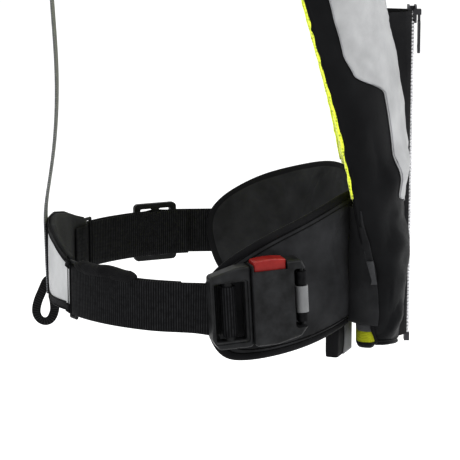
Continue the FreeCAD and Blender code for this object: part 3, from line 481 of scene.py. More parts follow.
class Pad:
    """The whole horseshoe as one closed grid that cloth simulation fills out between its seams."""

    def __init__(self):
        self.indices = np.linspace(0, LAST, 261)
        self.angles = np.linspace(-COVER_EDGE, 360 - COVER_EDGE, 72, endpoint=False)
        rest = np.array([pad_point(np.full(len(self.angles), i), self.angles, 0.0012) for i in self.indices])
        rest_out = self.find_normals(rest)
        self.points = rest
        self.points = self.fill_out()
        self.points = self.points + self.folds()
        rise = np.sum((self.points - rest) * rest_out, axis=-1, keepdims=True)
        deepest = np.where(self.indices > LAST - SHOULDER, -SINK_LEFT, -SINK_RIGHT)[:, None, None]
        self.points = self.points + rest_out * np.maximum(deepest - rise, 0)
        self.normals = self.find_normals(self.points)

    def pins(self):
        """How firmly each point is held: 1 on sewn lines, 0 where the cloth is free."""
        index, angle = np.meshgrid(self.indices, self.angles, indexing="ij")
        along_lobe = np.minimum(index, LAST - index)
        held = np.zeros(index.shape)
        for seam in (-COVER_EDGE, 180 + COVER_EDGE, 46.0):
            near = 1.3 * np.exp(-((angle - seam) / 5.5) ** 2)
            if seam == 46.0:
                near = near * (along_lobe < 5.6)
            held = np.maximum(held, near)
        held = np.maximum(held, (angle > 180 + COVER_EDGE) * 0.85)
        held = np.maximum(held, np.exp(-(along_lobe / 0.2) ** 2))
        held = np.maximum(held, 0.9 * np.exp(-((along_lobe - SHOULDER) / 0.12) ** 2))
        return np.clip(held, 0, 1)

    def fill_out(self):
        rows, cols = self.points.shape[:2]
        faces = grid_faces(rows, cols, wrap_cols=True)
        faces += [tuple(range(cols))[::-1], tuple(range((rows - 1) * cols, rows * cols))]
        obj = add_mesh("pad_simulation", self.points.reshape(-1, 3), faces, NYLON, body=None)
        moved = simulate(obj, self.pins().ravel(), pressure=3.0, shrink=-0.022, cap=0.0035)
        return moved.reshape(self.points.shape)

    def folds(self):
        """Long soft folds that run down and forward across the lower lobes, and slight ones above."""
        index, angle = np.meshgrid(self.indices, self.angles, indexing="ij")
        along_lobe = np.minimum(index, LAST - index)
        free = 1 - self.pins()
        p = self.points
        mirrored = p * np.where(p[..., :1] > 0, [-1.0, 1.0, 1.0], [1.0, 1.0, 1.0])
        shear = mirrored @ np.array([[1.0, 0, 0], [0, 1.0, 0], [0.9, 0.9, 0.35]])
        long_folds = wave_noise(shear, 0.075, 3) + 0.5 * wave_noise(shear, 0.035, 5)
        lower = smoothstep(4.6, 3.6, along_lobe) * smoothstep(0.1, 0.6, along_lobe)
        sharp = np.maximum(long_folds, -0.6)
        amount = (0.0030 * lower + 0.0006) * sharp * free
        return unit(p - self.middles()) * amount[..., None]

    def middles(self):
        return pad_frames(self.indices)[0][:, None, :]

    def find_normals(self, points):
        along = np.gradient(points, axis=0)
        around = (np.roll(points, -1, 1) - np.roll(points, 1, 1))
        normal = unit(np.cross(along, around))
        outward = np.sum(normal * (points - self.middles()), axis=-1, keepdims=True)
        return normal * np.where(outward.mean() > 0, 1, -1)

    def at(self, index, angle, lift=0.0):
        """Points of the filled-out surface at any index and angle, lifted along its outward direction."""
        index, angle = np.broadcast_arrays(np.asarray(index, float), np.asarray(angle, float))
        i = np.clip(index / LAST * (len(self.indices) - 1), 0, len(self.indices) - 1.0001)
        j = ((angle + COVER_EDGE) % 360) / 360 * len(self.angles)
        i0, j0 = i.astype(int), j.astype(int) % len(self.angles)
        fi, fj = (i - i0)[..., None], (j - np.floor(j))[..., None]
        j1 = (j0 + 1) % len(self.angles)
        mix = lambda g: ((g[i0, j0] * (1 - fj) + g[i0, j1] * fj) * (1 - fi)
                         + (g[i0 + 1, j0] * (1 - fj) + g[i0 + 1, j1] * fj) * fi)
        return mix(self.points) + unit(mix(self.normals)) * np.asarray(lift)[..., None]

    def out(self, index, angle):
        return unit(self.at(index, angle, 0.001) - self.at(index, angle, 0.0))


def simulate(obj, pins, pressure, shrink, cap, frames=20):
    """Fills obj like a cushion by cloth simulation, and gives its new points. No point moves past cap."""
    group = obj.vertex_groups.new(name="held")
    for level in np.unique(np.round(pins, 2)):
        picked = np.nonzero(np.round(pins, 2) == level)[0].tolist()
        group.add(picked, float(level), "REPLACE")
    before = read_points(obj)
    cloth = obj.modifiers.new("cloth", "CLOTH")
    settings = cloth.settings
    settings.quality = 6
    settings.mass = 0.12
    settings.air_damping = 2.0
    settings.tension_stiffness = settings.compression_stiffness = 15
    settings.bending_stiffness = 0.4
    settings.use_pressure = True
    settings.uniform_pressure_force = pressure
    settings.vertex_group_mass = "held"
    settings.shrink_min = shrink
    settings.effector_weights.gravity = 0
    for step in range(1, frames + 1):
        bpy.context.scene.frame_set(step)
    evaluated = obj.evaluated_get(bpy.context.evaluated_depsgraph_get())
    after = np.empty(len(before) * 3)
    evaluated.data.vertices.foreach_get("co", after)
    bpy.data.objects.remove(obj)
    bpy.context.scene.frame_set(1)
    move = after.reshape(-1, 3) - before
    size = np.linalg.norm(move, axis=1, keepdims=True)
    return before + move * (cap * np.tanh(size / cap) / np.maximum(size, 1e-9))


def read_points(obj):
    flat = np.empty(len(obj.data.vertices) * 3)
    obj.data.vertices.foreach_get("co", flat)
    return flat.reshape(-1, 3)


def pad_sheet(name, first, last, edges, lift, mat, thick, rows_per_index=10, cols=60):
    """A sheet of the pad between two indices; edges(index) gives the angles of its two sides."""
    rows = int((last - first) * rows_per_index) + 1
    index = np.linspace(first, last, rows)
    low_high = np.array([edges(i) for i in index])
    share = np.linspace(0, 1, cols)
    angle = low_high[:, :1] * (1 - share) + low_high[:, 1:] * share
    grid_index = np.broadcast_to(index[:, None], angle.shape)
    points = PAD.at(grid_index, angle, lift)
    lay = np.stack([grid_index * 0.06, angle * 0.0006, angle * 0], axis=-1)
    obj = add_mesh(name, points.reshape(-1, 3), grid_faces(rows, cols), mat, lay=lay.reshape(-1, 3))
    return add_thickness(obj, thick, 0.0)


PAD = Pad()


WING_TOP_INDEX = 3.15        # where the wing's top edge meets the lobe


def mirror_index(first, last):
    return LAST - last, LAST - first


def panel_edges(index):
    """Side angles of the light chest panel: wide above, a narrow strip beside the zip below."""
    along_lobe = min(index, LAST - index)
    wide = smoothstep(4.50, 4.80, along_lobe)
    widest = smoothstep(4.75, 5.1, along_lobe)
    foot = 1 - smoothstep(3.0, 3.14, along_lobe)
    return 49.0, 102.0 + 38.0 * wide + 10.0 * widest - 20.0 * foot


def make_pad():
    ranges = {"right": (0, SHOULDER), "collar": (SHOULDER, LAST - SHOULDER), "left": (LAST - SHOULDER, LAST)}
    for side, (first, last) in ranges.items():
        cover = pad_sheet(f"cover_{side}_cloth", first, last, lambda i: (-COVER_EDGE - 2, 180 + COVER_EDGE + 2),
                          0.0, NYLON, 0.0010, 10, 90)
        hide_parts(f"cover_{side}")
        lining = pad_sheet(f"lining_{side}_mesh", first, last, lambda i: (180 + COVER_EDGE - 3, 360 - COVER_EDGE + 3),
                           -0.0010, YELLOW_MESH, 0.0016, 8, 50)
        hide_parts(f"lining_{side}")
        edge_binding(side, first, last)
    for side, first, last in (("right", 3.0, 8.5), ("left", *mirror_index(3.0, 8.5))):
        panel = pad_sheet(f"panel_{side}_cloth", first, last, panel_edges, 0.0011, PANEL_CLOTH, 0.0008, 24, 40)
        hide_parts(f"panel_{side}")
        panel_stitches(side, first, last)
    lobe_ends()


def edge_binding(side, first, last):
    """The folded mesh edge that shows as a thin bright line between cover and lining."""
    index = np.linspace(first, last, int((last - first) * 12) + 1)
    for place, angle in (("outer", 180 + COVER_EDGE + 1.5), ("neck", -COVER_EDGE - 1.5)):
        path = PAD.at(index, np.full(len(index), angle), 0.0004)
        out = PAD.out(index, np.full(len(index), angle))
        run = unit(np.gradient(path, axis=0))
        along_lobe = np.minimum(index, LAST - index)
        for part, mat, slot_name, picked in (("upper", YELLOW_MESH, "yellow_mesh", along_lobe >= WING_TOP_INDEX),
                                             ("lower", BINDING, "cover_cloth", along_lobe <= WING_TOP_INDEX)):
            if place == "neck":
                picked = np.full(len(index), part == "upper")
            if picked.sum() > 2:
                strip = sweep(f"edge_{place}_{part}_{side}", path[picked], np.cross(run, out)[picked],
                              round_profile(0.0021, 10, 0.55), mat)
        shift = 4.0 if place == "neck" else -4.0
        line = PAD.at(index, np.full(len(index), angle + shift), 0.0006)
        row = stitches(f"edge_stitch_{place}_{side}", line, PAD.out(index, np.full(len(index), angle + shift)), THREAD)


def panel_stitches(side, first, last):
    index = np.linspace(first + 0.02, last - 0.02, 240)
    edges = np.array([panel_edges(i) for i in index])
    for place, angle in (("front", edges[:, 0] + 1.6), ("back", edges[:, 1] - 1.6)):
        line = PAD.at(index, angle, 0.0017)
        row = stitches(f"panel_stitch_{place}_{side}", line, PAD.out(index, angle), LIGHT_THREAD)


def lobe_ends():
    """Each lobe's lower end: a gusset closed by a rolled hem."""
    for side, index, sign in (("right", 0.0, 1), ("left", float(LAST), -1)):
        angles = np.linspace(0, 360, 72, endpoint=False)
        rim = PAD.at(np.full(72, index), angles)
        middle = rim.mean(axis=0)
        down = np.array([0, 0, -1.0])
        rings = [middle + (rim - middle) * share + down * 0.0022 * (1 - share ** 3)
                 for share in (1.0, 0.97, 0.9, 0.75, 0.5, 0.25)]
        verts = np.vstack(rings + [middle + down * 0.0022])
        faces = grid_faces(len(rings), 72, wrap_cols=True)
        last_ring, centre = (len(rings) - 1) * 72, len(rings) * 72
        faces += [(last_ring + j, last_ring + (j + 1) % 72, centre) for j in range(72)]
        gusset = add_thickness(add_mesh(f"lobe_end_{side}", verts, faces, NYLON), 0.0010, 0.0)
        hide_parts(f"end_gusset_{side}")
        hem = sweep(f"lobe_hem_{side}", rim, unit(rim - middle), round_profile(0.0017, 10), BINDING, closed=True)
        angle = np.linspace(-COVER_EDGE, 180 + COVER_EDGE, 90)
        height = np.full(90, index + sign * 0.22)
        stitches(f"lobe_hem_stitch_{side}", PAD.at(height, angle, 0.0006), PAD.out(height, angle), THREAD)


# ---------------------------------------------------------------- the waist loop's paths
def loop_normal(angle):
    a = np.radians(np.asarray(angle, float))
    depth = np.where(np.cos(a) > 0, LOOP_BACK_DEPTH, LOOP_FRONT_DEPTH)
    return unit(np.stack([-np.sin(a) / LOOP_HALF_WIDTH, np.cos(a) / depth, a * 0], axis=-1))


def loop_point(angle, offset=0.0):
    a = np.radians(np.asarray(angle, float))
    depth = np.where(np.cos(a) > 0, LOOP_BACK_DEPTH, LOOP_FRONT_DEPTH)
    base = np.stack([-LOOP_HALF_WIDTH * np.sin(a), depth * np.cos(a), a * 0], axis=-1)
    return base + loop_normal(angle) * np.asarray(offset)[..., None]


def loop_run(first, last, offset, step=6.0):
    count = max(2, round(abs(last - first) / step))
    return [loop_point(a, offset) for a in np.linspace(first, last, count + 1)]


UP = np.array([0, 0, 1.0])


def loop_forward(angle):
    return np.cross(UP, loop_normal(angle))


def turn(centre, start, end, radius, count=5):
    return [centre + radius * np.array([math.cos(math.radians(a)), math.sin(math.radians(a)), 0])
            for a in np.linspace(start, end, count)]


def plan_degrees(v):
    return math.degrees(math.atan2(v[1], v[0]))


def ring_turn(side=1):
    centre = loop_point(RING_ANGLE, 0.0016) + loop_forward(RING_ANGLE) * (RING_BAR * side)
    start = plan_degrees(loop_normal(RING_ANGLE))
    return turn(centre, start, start - 180 * side, RING_WIRE + 0.0004 + WEBBING_THICK / 2)


def mirror_x(points):
    return np.asarray(points) * np.array([-1, 1, 1])


def strap(name, points, mat=None, z=RING_DROP, width=WEBBING, thick=WEBBING_THICK, side=1, body="jacket"):
    """Webbing on edge that follows plan points at its middle."""
    path = smooth_path(np.array(points), 0.0022) + UP * z
    if side < 0:
        path = mirror_x(path)
    return sweep(name, path, UP, flat_profile(width, thick, 12), mat or BLACK_WEBBING, body)


# ---------------------------------------------------------------- wings and back pad
WING_OUTLINE = [(88.7, 3), (92.3, 23), (99.1, 35), (111.3, 49), (127.5, 61), (144.5, 70), (158, 70.5),
                (165.0, 61), (165.3, 30), (165.3, 0), (157.5, -25), (146, -31), (132.2, -35), (114.8, -39.5),
                (101, -41), (92.7, -31)]
ARC = 0.00240                # metres along the loop per degree


def wing(side, sign):
    """A padded wing: two faces that crown between a bound edge, filled out by cloth simulation."""
    outline = np.array([(a * ARC, z * MM) for a, z in WING_OUTLINE])
    rim = even(spline(outline, np.linspace(0, len(outline), 400), closed=True), 0.003)[:-1]
    centre = np.array([126 * ARC, 0.013])
    shares = np.concatenate([np.linspace(0.04, 0.9, 26), np.linspace(0.93, 1.0, 5)])
    flat = np.array([centre + (rim - centre) * s for s in shares])
    inside = np.clip((1 - shares) / 0.12, 0, 1)
    half = 0.0012 + 0.0021 * np.sin(inside * math.pi / 2) ** 0.8
    rows, cols = flat.shape[:2]
    faces_points = []
    for face in (1, -1):
        offset = -0.0026 + face * half[:, None] * np.ones((1, cols))
        faces_points.append(loop_point(flat[..., 0] / ARC, offset) + UP * flat[..., 1:2])
    outer, inner = faces_points
    centres = [loop_point(centre[0] / ARC, -0.0026 + f * 0.0033) + UP * centre[1] for f in (1, -1)]
    verts = np.vstack([outer.reshape(-1, 3), inner.reshape(-1, 3), centres])
    count = rows * cols
    faces = grid_faces(rows, cols, wrap_cols=True)
    faces += [tuple(count + k for k in f)[::-1] for f in grid_faces(rows, cols, wrap_cols=True)]
    rim_row = (rows - 1) * cols
    for j in range(cols):
        k = (j + 1) % cols
        faces.append((rim_row + j, rim_row + k, count + rim_row + k, count + rim_row + j))
        faces.append((j, k, 2 * count))
        faces.append((count + k, count + j, 2 * count + 1))
    pins = np.repeat(smoothstep(0.90, 0.95, shares), cols)
    pins = np.concatenate([pins, pins, [0.0, 0.0]])
    blank = add_mesh("wing_simulation", verts, faces, SOFT_CLOTH, body=None)
    verts = simulate(blank, pins, pressure=4.0, shrink=-0.012, cap=0.0016)
    ripple = wave_noise(verts * np.array([1, 1, 0.45]), 0.05, 11)
    middle = loop_point(flat[..., 0] / ARC, -0.0026) + UP * flat[..., 1:2]
    middle = np.vstack([middle.reshape(-1, 3), middle.reshape(-1, 3), centres])
    verts = verts + unit(verts - middle + 1e-9) * (0.00035 * ripple)[:, None]
    if sign < 0:
        verts = mirror_x(verts)
    pad = add_mesh(f"wing_{side}_pad", verts, faces, SOFT_CLOTH)
    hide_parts(f"wing_{side}")
    wing_edge(side, sign, rim, centre)


def wing_edge(side, sign, rim, centre):
    turn_back = mirror_x if sign < 0 else np.asarray
    angle = rim[:, 0] / ARC
    path = turn_back(loop_point(angle, -0.0026) + UP * rim[:, 1:2])
    out = turn_back(loop_normal(angle))
    run = unit(np.roll(path, -1, 0) - np.roll(path, 1, 0))
    inward = np.cross(run, out)
    profile = [(-0.0006 + 0.0040 * math.cos(a), 0.0021 * math.sin(a)) for a in np.linspace(0, 2 * math.pi, 14)[:-1]]
    edge = sweep(f"wing_binding_{side}", path, inward, profile, BINDING, closed=True)
    for name, share, lift in (("outer", 0.915, 0.0010), ("inner", 0.975, -0.0004)):
        line = centre + (rim - centre) * share
        line = np.vstack([line, line[:1]])
        angles = line[:, 0] / ARC
        at = turn_back(loop_point(angles, lift) + UP * line[:, 1:2])
        row = stitches(f"wing_stitch_{name}_{side}", at, turn_back(loop_normal(angles)), THREAD)


def back_outline(angle):
    """Lower and upper edges of the back pad at an angle round the loop."""
    a = np.abs(angle)
    top = np.interp(a, [0, 10, 20, 29, 36], [0.040, 0.0395, 0.035, 0.027, 0.022])
    bottom = np.interp(a, [0, 15, 29, 36], [-0.025, -0.0245, -0.0212, -0.020])
    return bottom, top


def ring_cover(angle):
    """How far a sheet that ends over a ring's rear upright stands further out there."""
    return 0.0030 * smoothstep(RING_ANGLE - 4.6, RING_ANGLE - 2.6, np.abs(angle))


def back_sheet(name, inset, span, offset, thick, mat, crown=0.0, over_ring=False):
    angle = np.linspace(-span, span, 81)
    low, high = back_outline(angle)
    share = np.linspace(0, 1, 21)
    z = (low + inset)[:, None] * (1 - share) + (high - inset)[:, None] * share
    angles = np.broadcast_to(angle[:, None], z.shape)
    swell = crown * np.sin(share * math.pi) ** 0.6 * np.cos(angle / span * math.pi / 2)[:, None] ** 0.4
    swell = swell + ring_cover(angle)[:, None] * over_ring
    points = loop_point(angles, offset + swell) + UP * z[..., None]
    obj = add_mesh(name, points.reshape(-1, 3), grid_faces(*z.shape), mat)
    add_thickness(obj, thick, 0.0)
    return obj


def make_back():
    pad = back_sheet("back_pad_body", 0.001, RING_ANGLE - 3.2, -0.0016, 0.0042, SOFT_CLOTH)
    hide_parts("back_pad")
    panel = back_sheet("back_pad_panel", 0.0068, RING_ANGLE - 0.8, 0.0014, 0.0007, LIGHT_CLOTH,
                       0.0006, over_ring=True)
    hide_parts("back_panel")
    for place, pick in (("top", 1), ("bottom", 0)):
        angle = np.linspace(-RING_ANGLE + 0.8, RING_ANGLE - 0.8, 80)
        z = back_outline(angle)[pick] + (-0.0035 if pick else 0.0035)
        tape_path = loop_point(angle, 0.0016 + ring_cover(angle)) + UP * z[:, None]
        tape = sweep(f"back_pad_tape_{place}", tape_path, UP, flat_profile(0.0078, 0.0011, 5), BINDING)
        for k, shift in enumerate((-0.0027, 0.0027)):
            row = stitches(f"back_tape_stitch_{place}_{k}", tape_path + UP * shift + loop_normal(angle) * 0.0007,
                           loop_normal(angle), THREAD)
    for side, sign in (("right", 1), ("left", -1)):
        lead = [loop_point(24, -0.0054), loop_point(27, -0.0054), loop_point(31.2, -0.0055)]
        tab = strap(f"back_tab_{side}_webbing", lead + ring_turn(-1)[::-1], side=sign)
        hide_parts(f"back_tab_{side}")
    back_strap()
    hanging_loop()


BACK_STRAP = [(0, 127.5, 333), (0, 131, 300), (0, 131, 240), (0, 129, 170), (0, 131.5, 100), (0, 137.6, 54),
              (0, 138.5, 30), (0, 138.5, 5), (0, 138.4, -22)]


def back_strap():
    path = smooth_path(np.array(BACK_STRAP) * MM, 0.003)
    path[:, 1] += 0.0008 * np.sin(path[:, 2] / 0.031)
    obj = sweep("back_strap_webbing", path, np.array([1.0, 0, 0]), flat_profile(0.028, 0.0018, 9), GREY_WEBBING)
    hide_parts("back_strap")


def hanging_loop():
    """A teardrop of tape that hangs with its broad face to the sides and a narrow slit in the middle."""
    shape = [(2.5, -14), (-1.2, -30), (-1.6, -40), (1.8, -47.5), (8.5, -49.0), (13.6, -42), (11.8, -31), (8.0, -22)]
    middle = [(0.0, LOOP_BACK_DEPTH + y * MM, z * MM) for y, z in shape]
    path = smooth_path(np.array(middle), 0.0010, closed=True)[:-1]
    run = unit(np.roll(path, -1, 0) - np.roll(path, 1, 0))
    lean = math.radians(24)
    across = np.cross(run, [1.0, 0, 0]) * math.cos(lean) + np.array([1.0, 0, 0]) * math.sin(lean)
    obj = sweep("hanging_loop_tape", path, across, flat_profile(0.0084, 0.0014, 8), BLACK_WEBBING, closed=True)
    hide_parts("crotch_loop_back")


# ---------------------------------------------------------------- side webbing
def buckle_axes():
    forward, normal = loop_forward(BUCKLE_ANGLE), loop_normal(BUCKLE_ANGLE)
    c, s = math.cos(math.radians(BUCKLE_TILT)), math.sin(math.radians(BUCKLE_TILT))
    return forward * c + UP * s, UP * c - forward * s, normal


BUCKLE_X, BUCKLE_Y, BUCKLE_Z = buckle_axes()
BUCKLE_AT = loop_point(BUCKLE_ANGLE, BUCKLE_OFFSET)


def buckle_point(x, y, z):
    return BUCKLE_AT + BUCKLE_X * x + BUCKLE_Y * y + BUCKLE_Z * z


def local_loop(angle, offset):
    at = loop_point(angle, offset) - BUCKLE_AT
    return at @ BUCKLE_X, at @ BUCKLE_Z


def make_webbing():
    outer = loop_run(BUCKLE_ANGLE - 20.6, 44, OUTER_LAYER, 10)
    inner = loop_run(RING_ANGLE + 8, 80, INNER_LAYER, 10)
    centre_x, centre_z, reach = -0.0222, 0.0072, 0.0042 + 0.0004 + WEBBING_THICK / 2
    arc = [(centre_x + reach * math.cos(math.radians(a)), centre_z + reach * math.sin(math.radians(a)))
           for a in np.linspace(200, -35, 8)]
    over = [(-0.036, -0.0009), (-0.031, 0.0006), (-0.0287, 0.0026)] + arc
    over += [(-0.019, 0.0009), (-0.023, -0.0018), (-0.030, -0.0036)]
    tilt = math.sin(math.radians(BUCKLE_TILT))
    over_points = [buckle_point(u, 0, w) for u, w in over]
    tail = loop_run(88, 67, 0.0021, 7)
    plan = list(reversed(inner)) + list(reversed(ring_turn())) + list(reversed(outer)) + over_points + tail
    plan = np.array(plan)
    drop = np.array([RING_DROP] * (len(inner) + 5 + len(outer)) + [0.0] * len(over) + [RING_DROP] * len(tail))
    path = smooth_path(np.column_stack([plan[:, 0], plan[:, 1], plan[:, 2] + drop]), 0.002)
    forward = (path - BUCKLE_AT) @ BUCKLE_X
    lean = smoothstep(-0.060, -0.036, forward)[:, None]
    side = unit(UP * (1 - lean) + BUCKLE_Y * lean)
    right = sweep("side_webbing_right_strap", path, side, flat_profile(WEBBING, WEBBING_THICK, 14), BLACK_WEBBING,
                  body=None)
    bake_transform(right)
    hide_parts("side_webbing_right")
    hem = strap("tail_hem", loop_run(66, 69.5, 0.0016, 1), thick=0.0029)
    strap_patch()
    left_side()


def strap_patch():
    """The puffy hook-and-loop fold that lies along the strap's upper edge."""
    angle = np.linspace(37.6, 65, 60)
    share = np.linspace(0, 1, 60)
    full = np.clip(np.minimum(share / 0.16, (1 - share) / 0.10), 0, 1) ** 0.5
    full = np.maximum(full, 0.05)
    rise = 0.0188 + 0.0012 * np.sin(share * math.pi) + 0.0006 * np.sin(share * 13)
    around = np.linspace(0, 2 * math.pi, 20, endpoint=False)
    verts = []
    for a, f, z in zip(angle, full, rise):
        out = 0.0016 + (0.0056 + 0.0005 * math.sin(a)) * f * np.cos(around)
        verts.append(loop_point(np.full(20, a), out) + UP * (z + 0.0052 * f * np.sin(around))[:, None])
    faces = grid_faces(60, 20, wrap_cols=True)
    faces += [tuple(range(20))[::-1], tuple(range(59 * 20, 60 * 20))]
    add_mesh("strap_patch_fold", np.vstack(verts), faces, HOOK_CLOTH)


def left_side():
    adjuster_angle, bar_top = 68.0, 0.0072
    at, forward, normal = loop_point(adjuster_angle), loop_forward(adjuster_angle), loop_normal(adjuster_angle)
    over = bar_top + 0.0004 + WEBBING_THICK / 2
    weave = [(22, 2.6), (16, 3.4), (9.5, 4.6), (4.2, over / MM - 0.6), (0, over / MM),
             (-4.2, over / MM - 0.6), (-9.5, 4.6), (-16, 3.4), (-22, 2.8)]
    woven_part = [at + forward * u * MM + normal * w * MM for u, w in weave]
    outer = loop_run(adjuster_angle - 12, 44, OUTER_LAYER, 10)
    inner = loop_run(RING_ANGLE + 8, 80, INNER_LAYER, 10)
    points = loop_run(106, 86, 0.0023, 5) + woven_part + outer + ring_turn() + inner
    obj = strap("side_webbing_left_strap", points, side=-1)
    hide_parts("side_webbing_left")
    front = strap("front_belt_webbing", loop_run(166.7, 193.3, -0.0024, 4), z=0.022)
    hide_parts("front_belt")


# ---------------------------------------------------------------- zip
TAPE_BACK = 0.0008           # the tapes lie this far behind the middle of the teeth


def zip_tapes():
    for name, sign in (("right", 1), ("left", -1)):
        index = np.linspace(0.12, 5.56, 90)
        z = PAD.at(index, np.full(90, 40.0))[:, 2]
        lobe = [PAD.at(index, np.full(90, a), 0.0012) for a in (30.0, 36.0, 42.0, 47.0)]
        flat = [np.column_stack([np.full(90, -x), np.full(90, ZIP_Y + TAPE_BACK), z])
                for x in (0.0042, 0.0056, 0.0068, 0.0082)]
        columns = np.array(flat + lobe).transpose(1, 0, 2)
        place = np.linspace(0, 7, 29)
        whole = np.minimum(place.astype(int), 6)
        part = (place - whole)[None, :, None]
        fine = columns[:, whole] * (1 - part) + columns[:, whole + 1] * part
        if sign < 0:
            fine = mirror_x(fine)
        lay = np.zeros(fine.shape)
        lay[..., 0] = fine[..., 2]
        tape = add_mesh(f"zip_tape_{name}_cloth", fine.reshape(-1, 3), grid_faces(90, 29), TAPE,
                        lay=lay.reshape(-1, 3))
        add_thickness(tape, 0.0006, 0.0)
        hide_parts(f"zip_tape_{name}")
        for k, column in enumerate((16, 25)):
            line = fine[:, column] + np.array([0, -0.0005, 0])
            row = stitches(f"zip_stitch_{name}_{k}", line, np.array([0, -1.0, 0]), THREAD)


def zip_teeth():
    """Two rows of moulded teeth: a block on the tape's edge and a rounded head that meets the other row."""
    low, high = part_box("zip_teeth_right")
    for name, sign in (("right", -1), ("left", 1)):
        verts, faces = [], []
        count = int(round((high[2] - low[2]) / TOOTH_PITCH))
        for n in range(count):
            z = low[2] + TOOTH_PITCH * (n + 0.5) + (0.0015 if sign > 0 else 0)
            base = len(verts)
            sections = [(-0.0008, 0.0008, 0.0006), (-0.0002, 0.0018, 0.0010), (0.0008, 0.0020, 0.0010),
                        (0.0014, 0.0014, 0.0006), (0.0022, 0.0016, 0.0008), (0.0040, 0.0019, 0.0010),
                        (0.0048, 0.0013, 0.0007)]
            for x, half_y, half_z in sections:
                for a in np.linspace(0, 2 * math.pi, 8, endpoint=False) + math.pi / 8:
                    y = ZIP_Y + half_y * 1.08 * np.sign(math.cos(a)) * abs(math.cos(a)) ** 0.6
                    verts.append((sign * x, y, z + half_z * 1.08 * np.sign(math.sin(a)) * abs(math.sin(a)) ** 0.6))
            for k in range(len(sections) - 1):
                for j in range(8):
                    a, b = base + k * 8 + j, base + k * 8 + (j + 1) % 8
                    faces.append((a, b, b + 8, a + 8))
            faces.append(tuple(base + j for j in range(8)))
            faces.append(tuple(base + (len(sections) - 1) * 8 + j for j in reversed(range(8))))
        teeth = add_mesh(f"zip_teeth_{name}_row", verts, faces, TOOTH_PLASTIC)
        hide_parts(f"zip_teeth_{name}")


# ---------------------------------------------------------------- small sewn pieces
def belt_keeper(side, sign):
    """The sewn strip that holds the wing against the lobe."""
    first, last = (1.32, 2.5) if sign > 0 else mirror_index(1.32, 2.5)
    strip = pad_sheet(f"belt_keeper_{side}_strip", first, last, lambda i: (196, 229), 0.0012, SOFT_CLOTH, 0.0011,
                      24, 16)
    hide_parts(f"belt_keeper_{side}")


def wing_join(side, sign):
    """The cloth that runs from the lobe's outer edge back onto the wing and closes the gap between them."""
    heights = np.linspace(-0.0305, 0.064, 40)
    index = np.linspace(0.4, 4.0, 120)
    edge_z = PAD.at(index, np.full(120, 188.0))[:, 2]
    at_edge = np.interp(heights, edge_z, index)
    start = PAD.at(at_edge, np.full(40, 184.0), 0.0016)
    end = loop_point(np.full(40, 150.0), 0.0012) + UP * heights[:, None]
    share = np.linspace(0, 1, 24)[None, :, None]
    sag = np.sin(share * math.pi) * np.array([-0.0035, 0, 0])
    points = start[:, None] * (1 - share) + end[:, None] * share + sag
    points = points + 0.0004 * wave_noise(points, 0.03, 21)[..., None]
    if sign < 0:
        points = mirror_x(points)
    obj = add_mesh(f"wing_join_{side}", points.reshape(-1, 3), grid_faces(40, 24), SOFT_CLOTH)
    add_thickness(obj, 0.0011, 0.0)
    first, last = (2.02, 2.36) if sign > 0 else mirror_index(2.02, 2.36)
    tab = pad_sheet(f"keeper_tab_{side}", first, last, lambda i: (183, 197), 0.0046, KEEPER_CLOTH, 0.0016, 40, 14)


def lobe_tongue(side, sign):
    """The pouch at the lobe's lower end: a hem, a strip of mesh and a bound lower edge."""
    corners = [(-0.042, -0.1335), (-0.074, -0.1315), (-0.080, -0.1240), (-0.071, -0.1180), (-0.042, -0.1200),
               (-0.037, -0.1255)]
    plan = smooth_path(np.array([(x, y, 0.0) for x, y in corners]), 0.0012, closed=True)[:-1]
    if sign < 0:
        plan = mirror_x(plan)
    # The mesh band takes the yellow mesh with painted shade, darker than the lining's mesh.
    bands = (("hem", -0.0345, 0.0070, 0.0016, KEEPER_CLOTH, "webbing"),
             ("mesh", -0.0425, 0.0110, 0.0014, SHADED_MESH, "yellow_mesh"))
    for part, z, height, thick, mat, slot_name in bands:
        band = sweep(f"tongue_{part}_{side}", plan + UP * z, UP, flat_profile(height, thick, 6), mat, closed=True)
    middle = plan.mean(axis=0)
    rings = [middle + (plan - middle) * grow + UP * z
             for grow, z in ((0.97, -0.0455), (1.08, -0.0470), (1.09, -0.0490), (0.98, -0.0512), (0.6, -0.0522))]
    count = len(plan)
    verts = np.vstack(rings + [middle + UP * -0.0524])
    faces = grid_faces(len(rings), count, wrap_cols=True)
    last = (len(rings) - 1) * count
    faces += [(last + j, last + (j + 1) % count, len(verts) - 1) for j in range(count)]
    faces.append(tuple(range(count))[::-1])
    add_mesh(f"tongue_binding_{side}", verts, faces, BINDING)


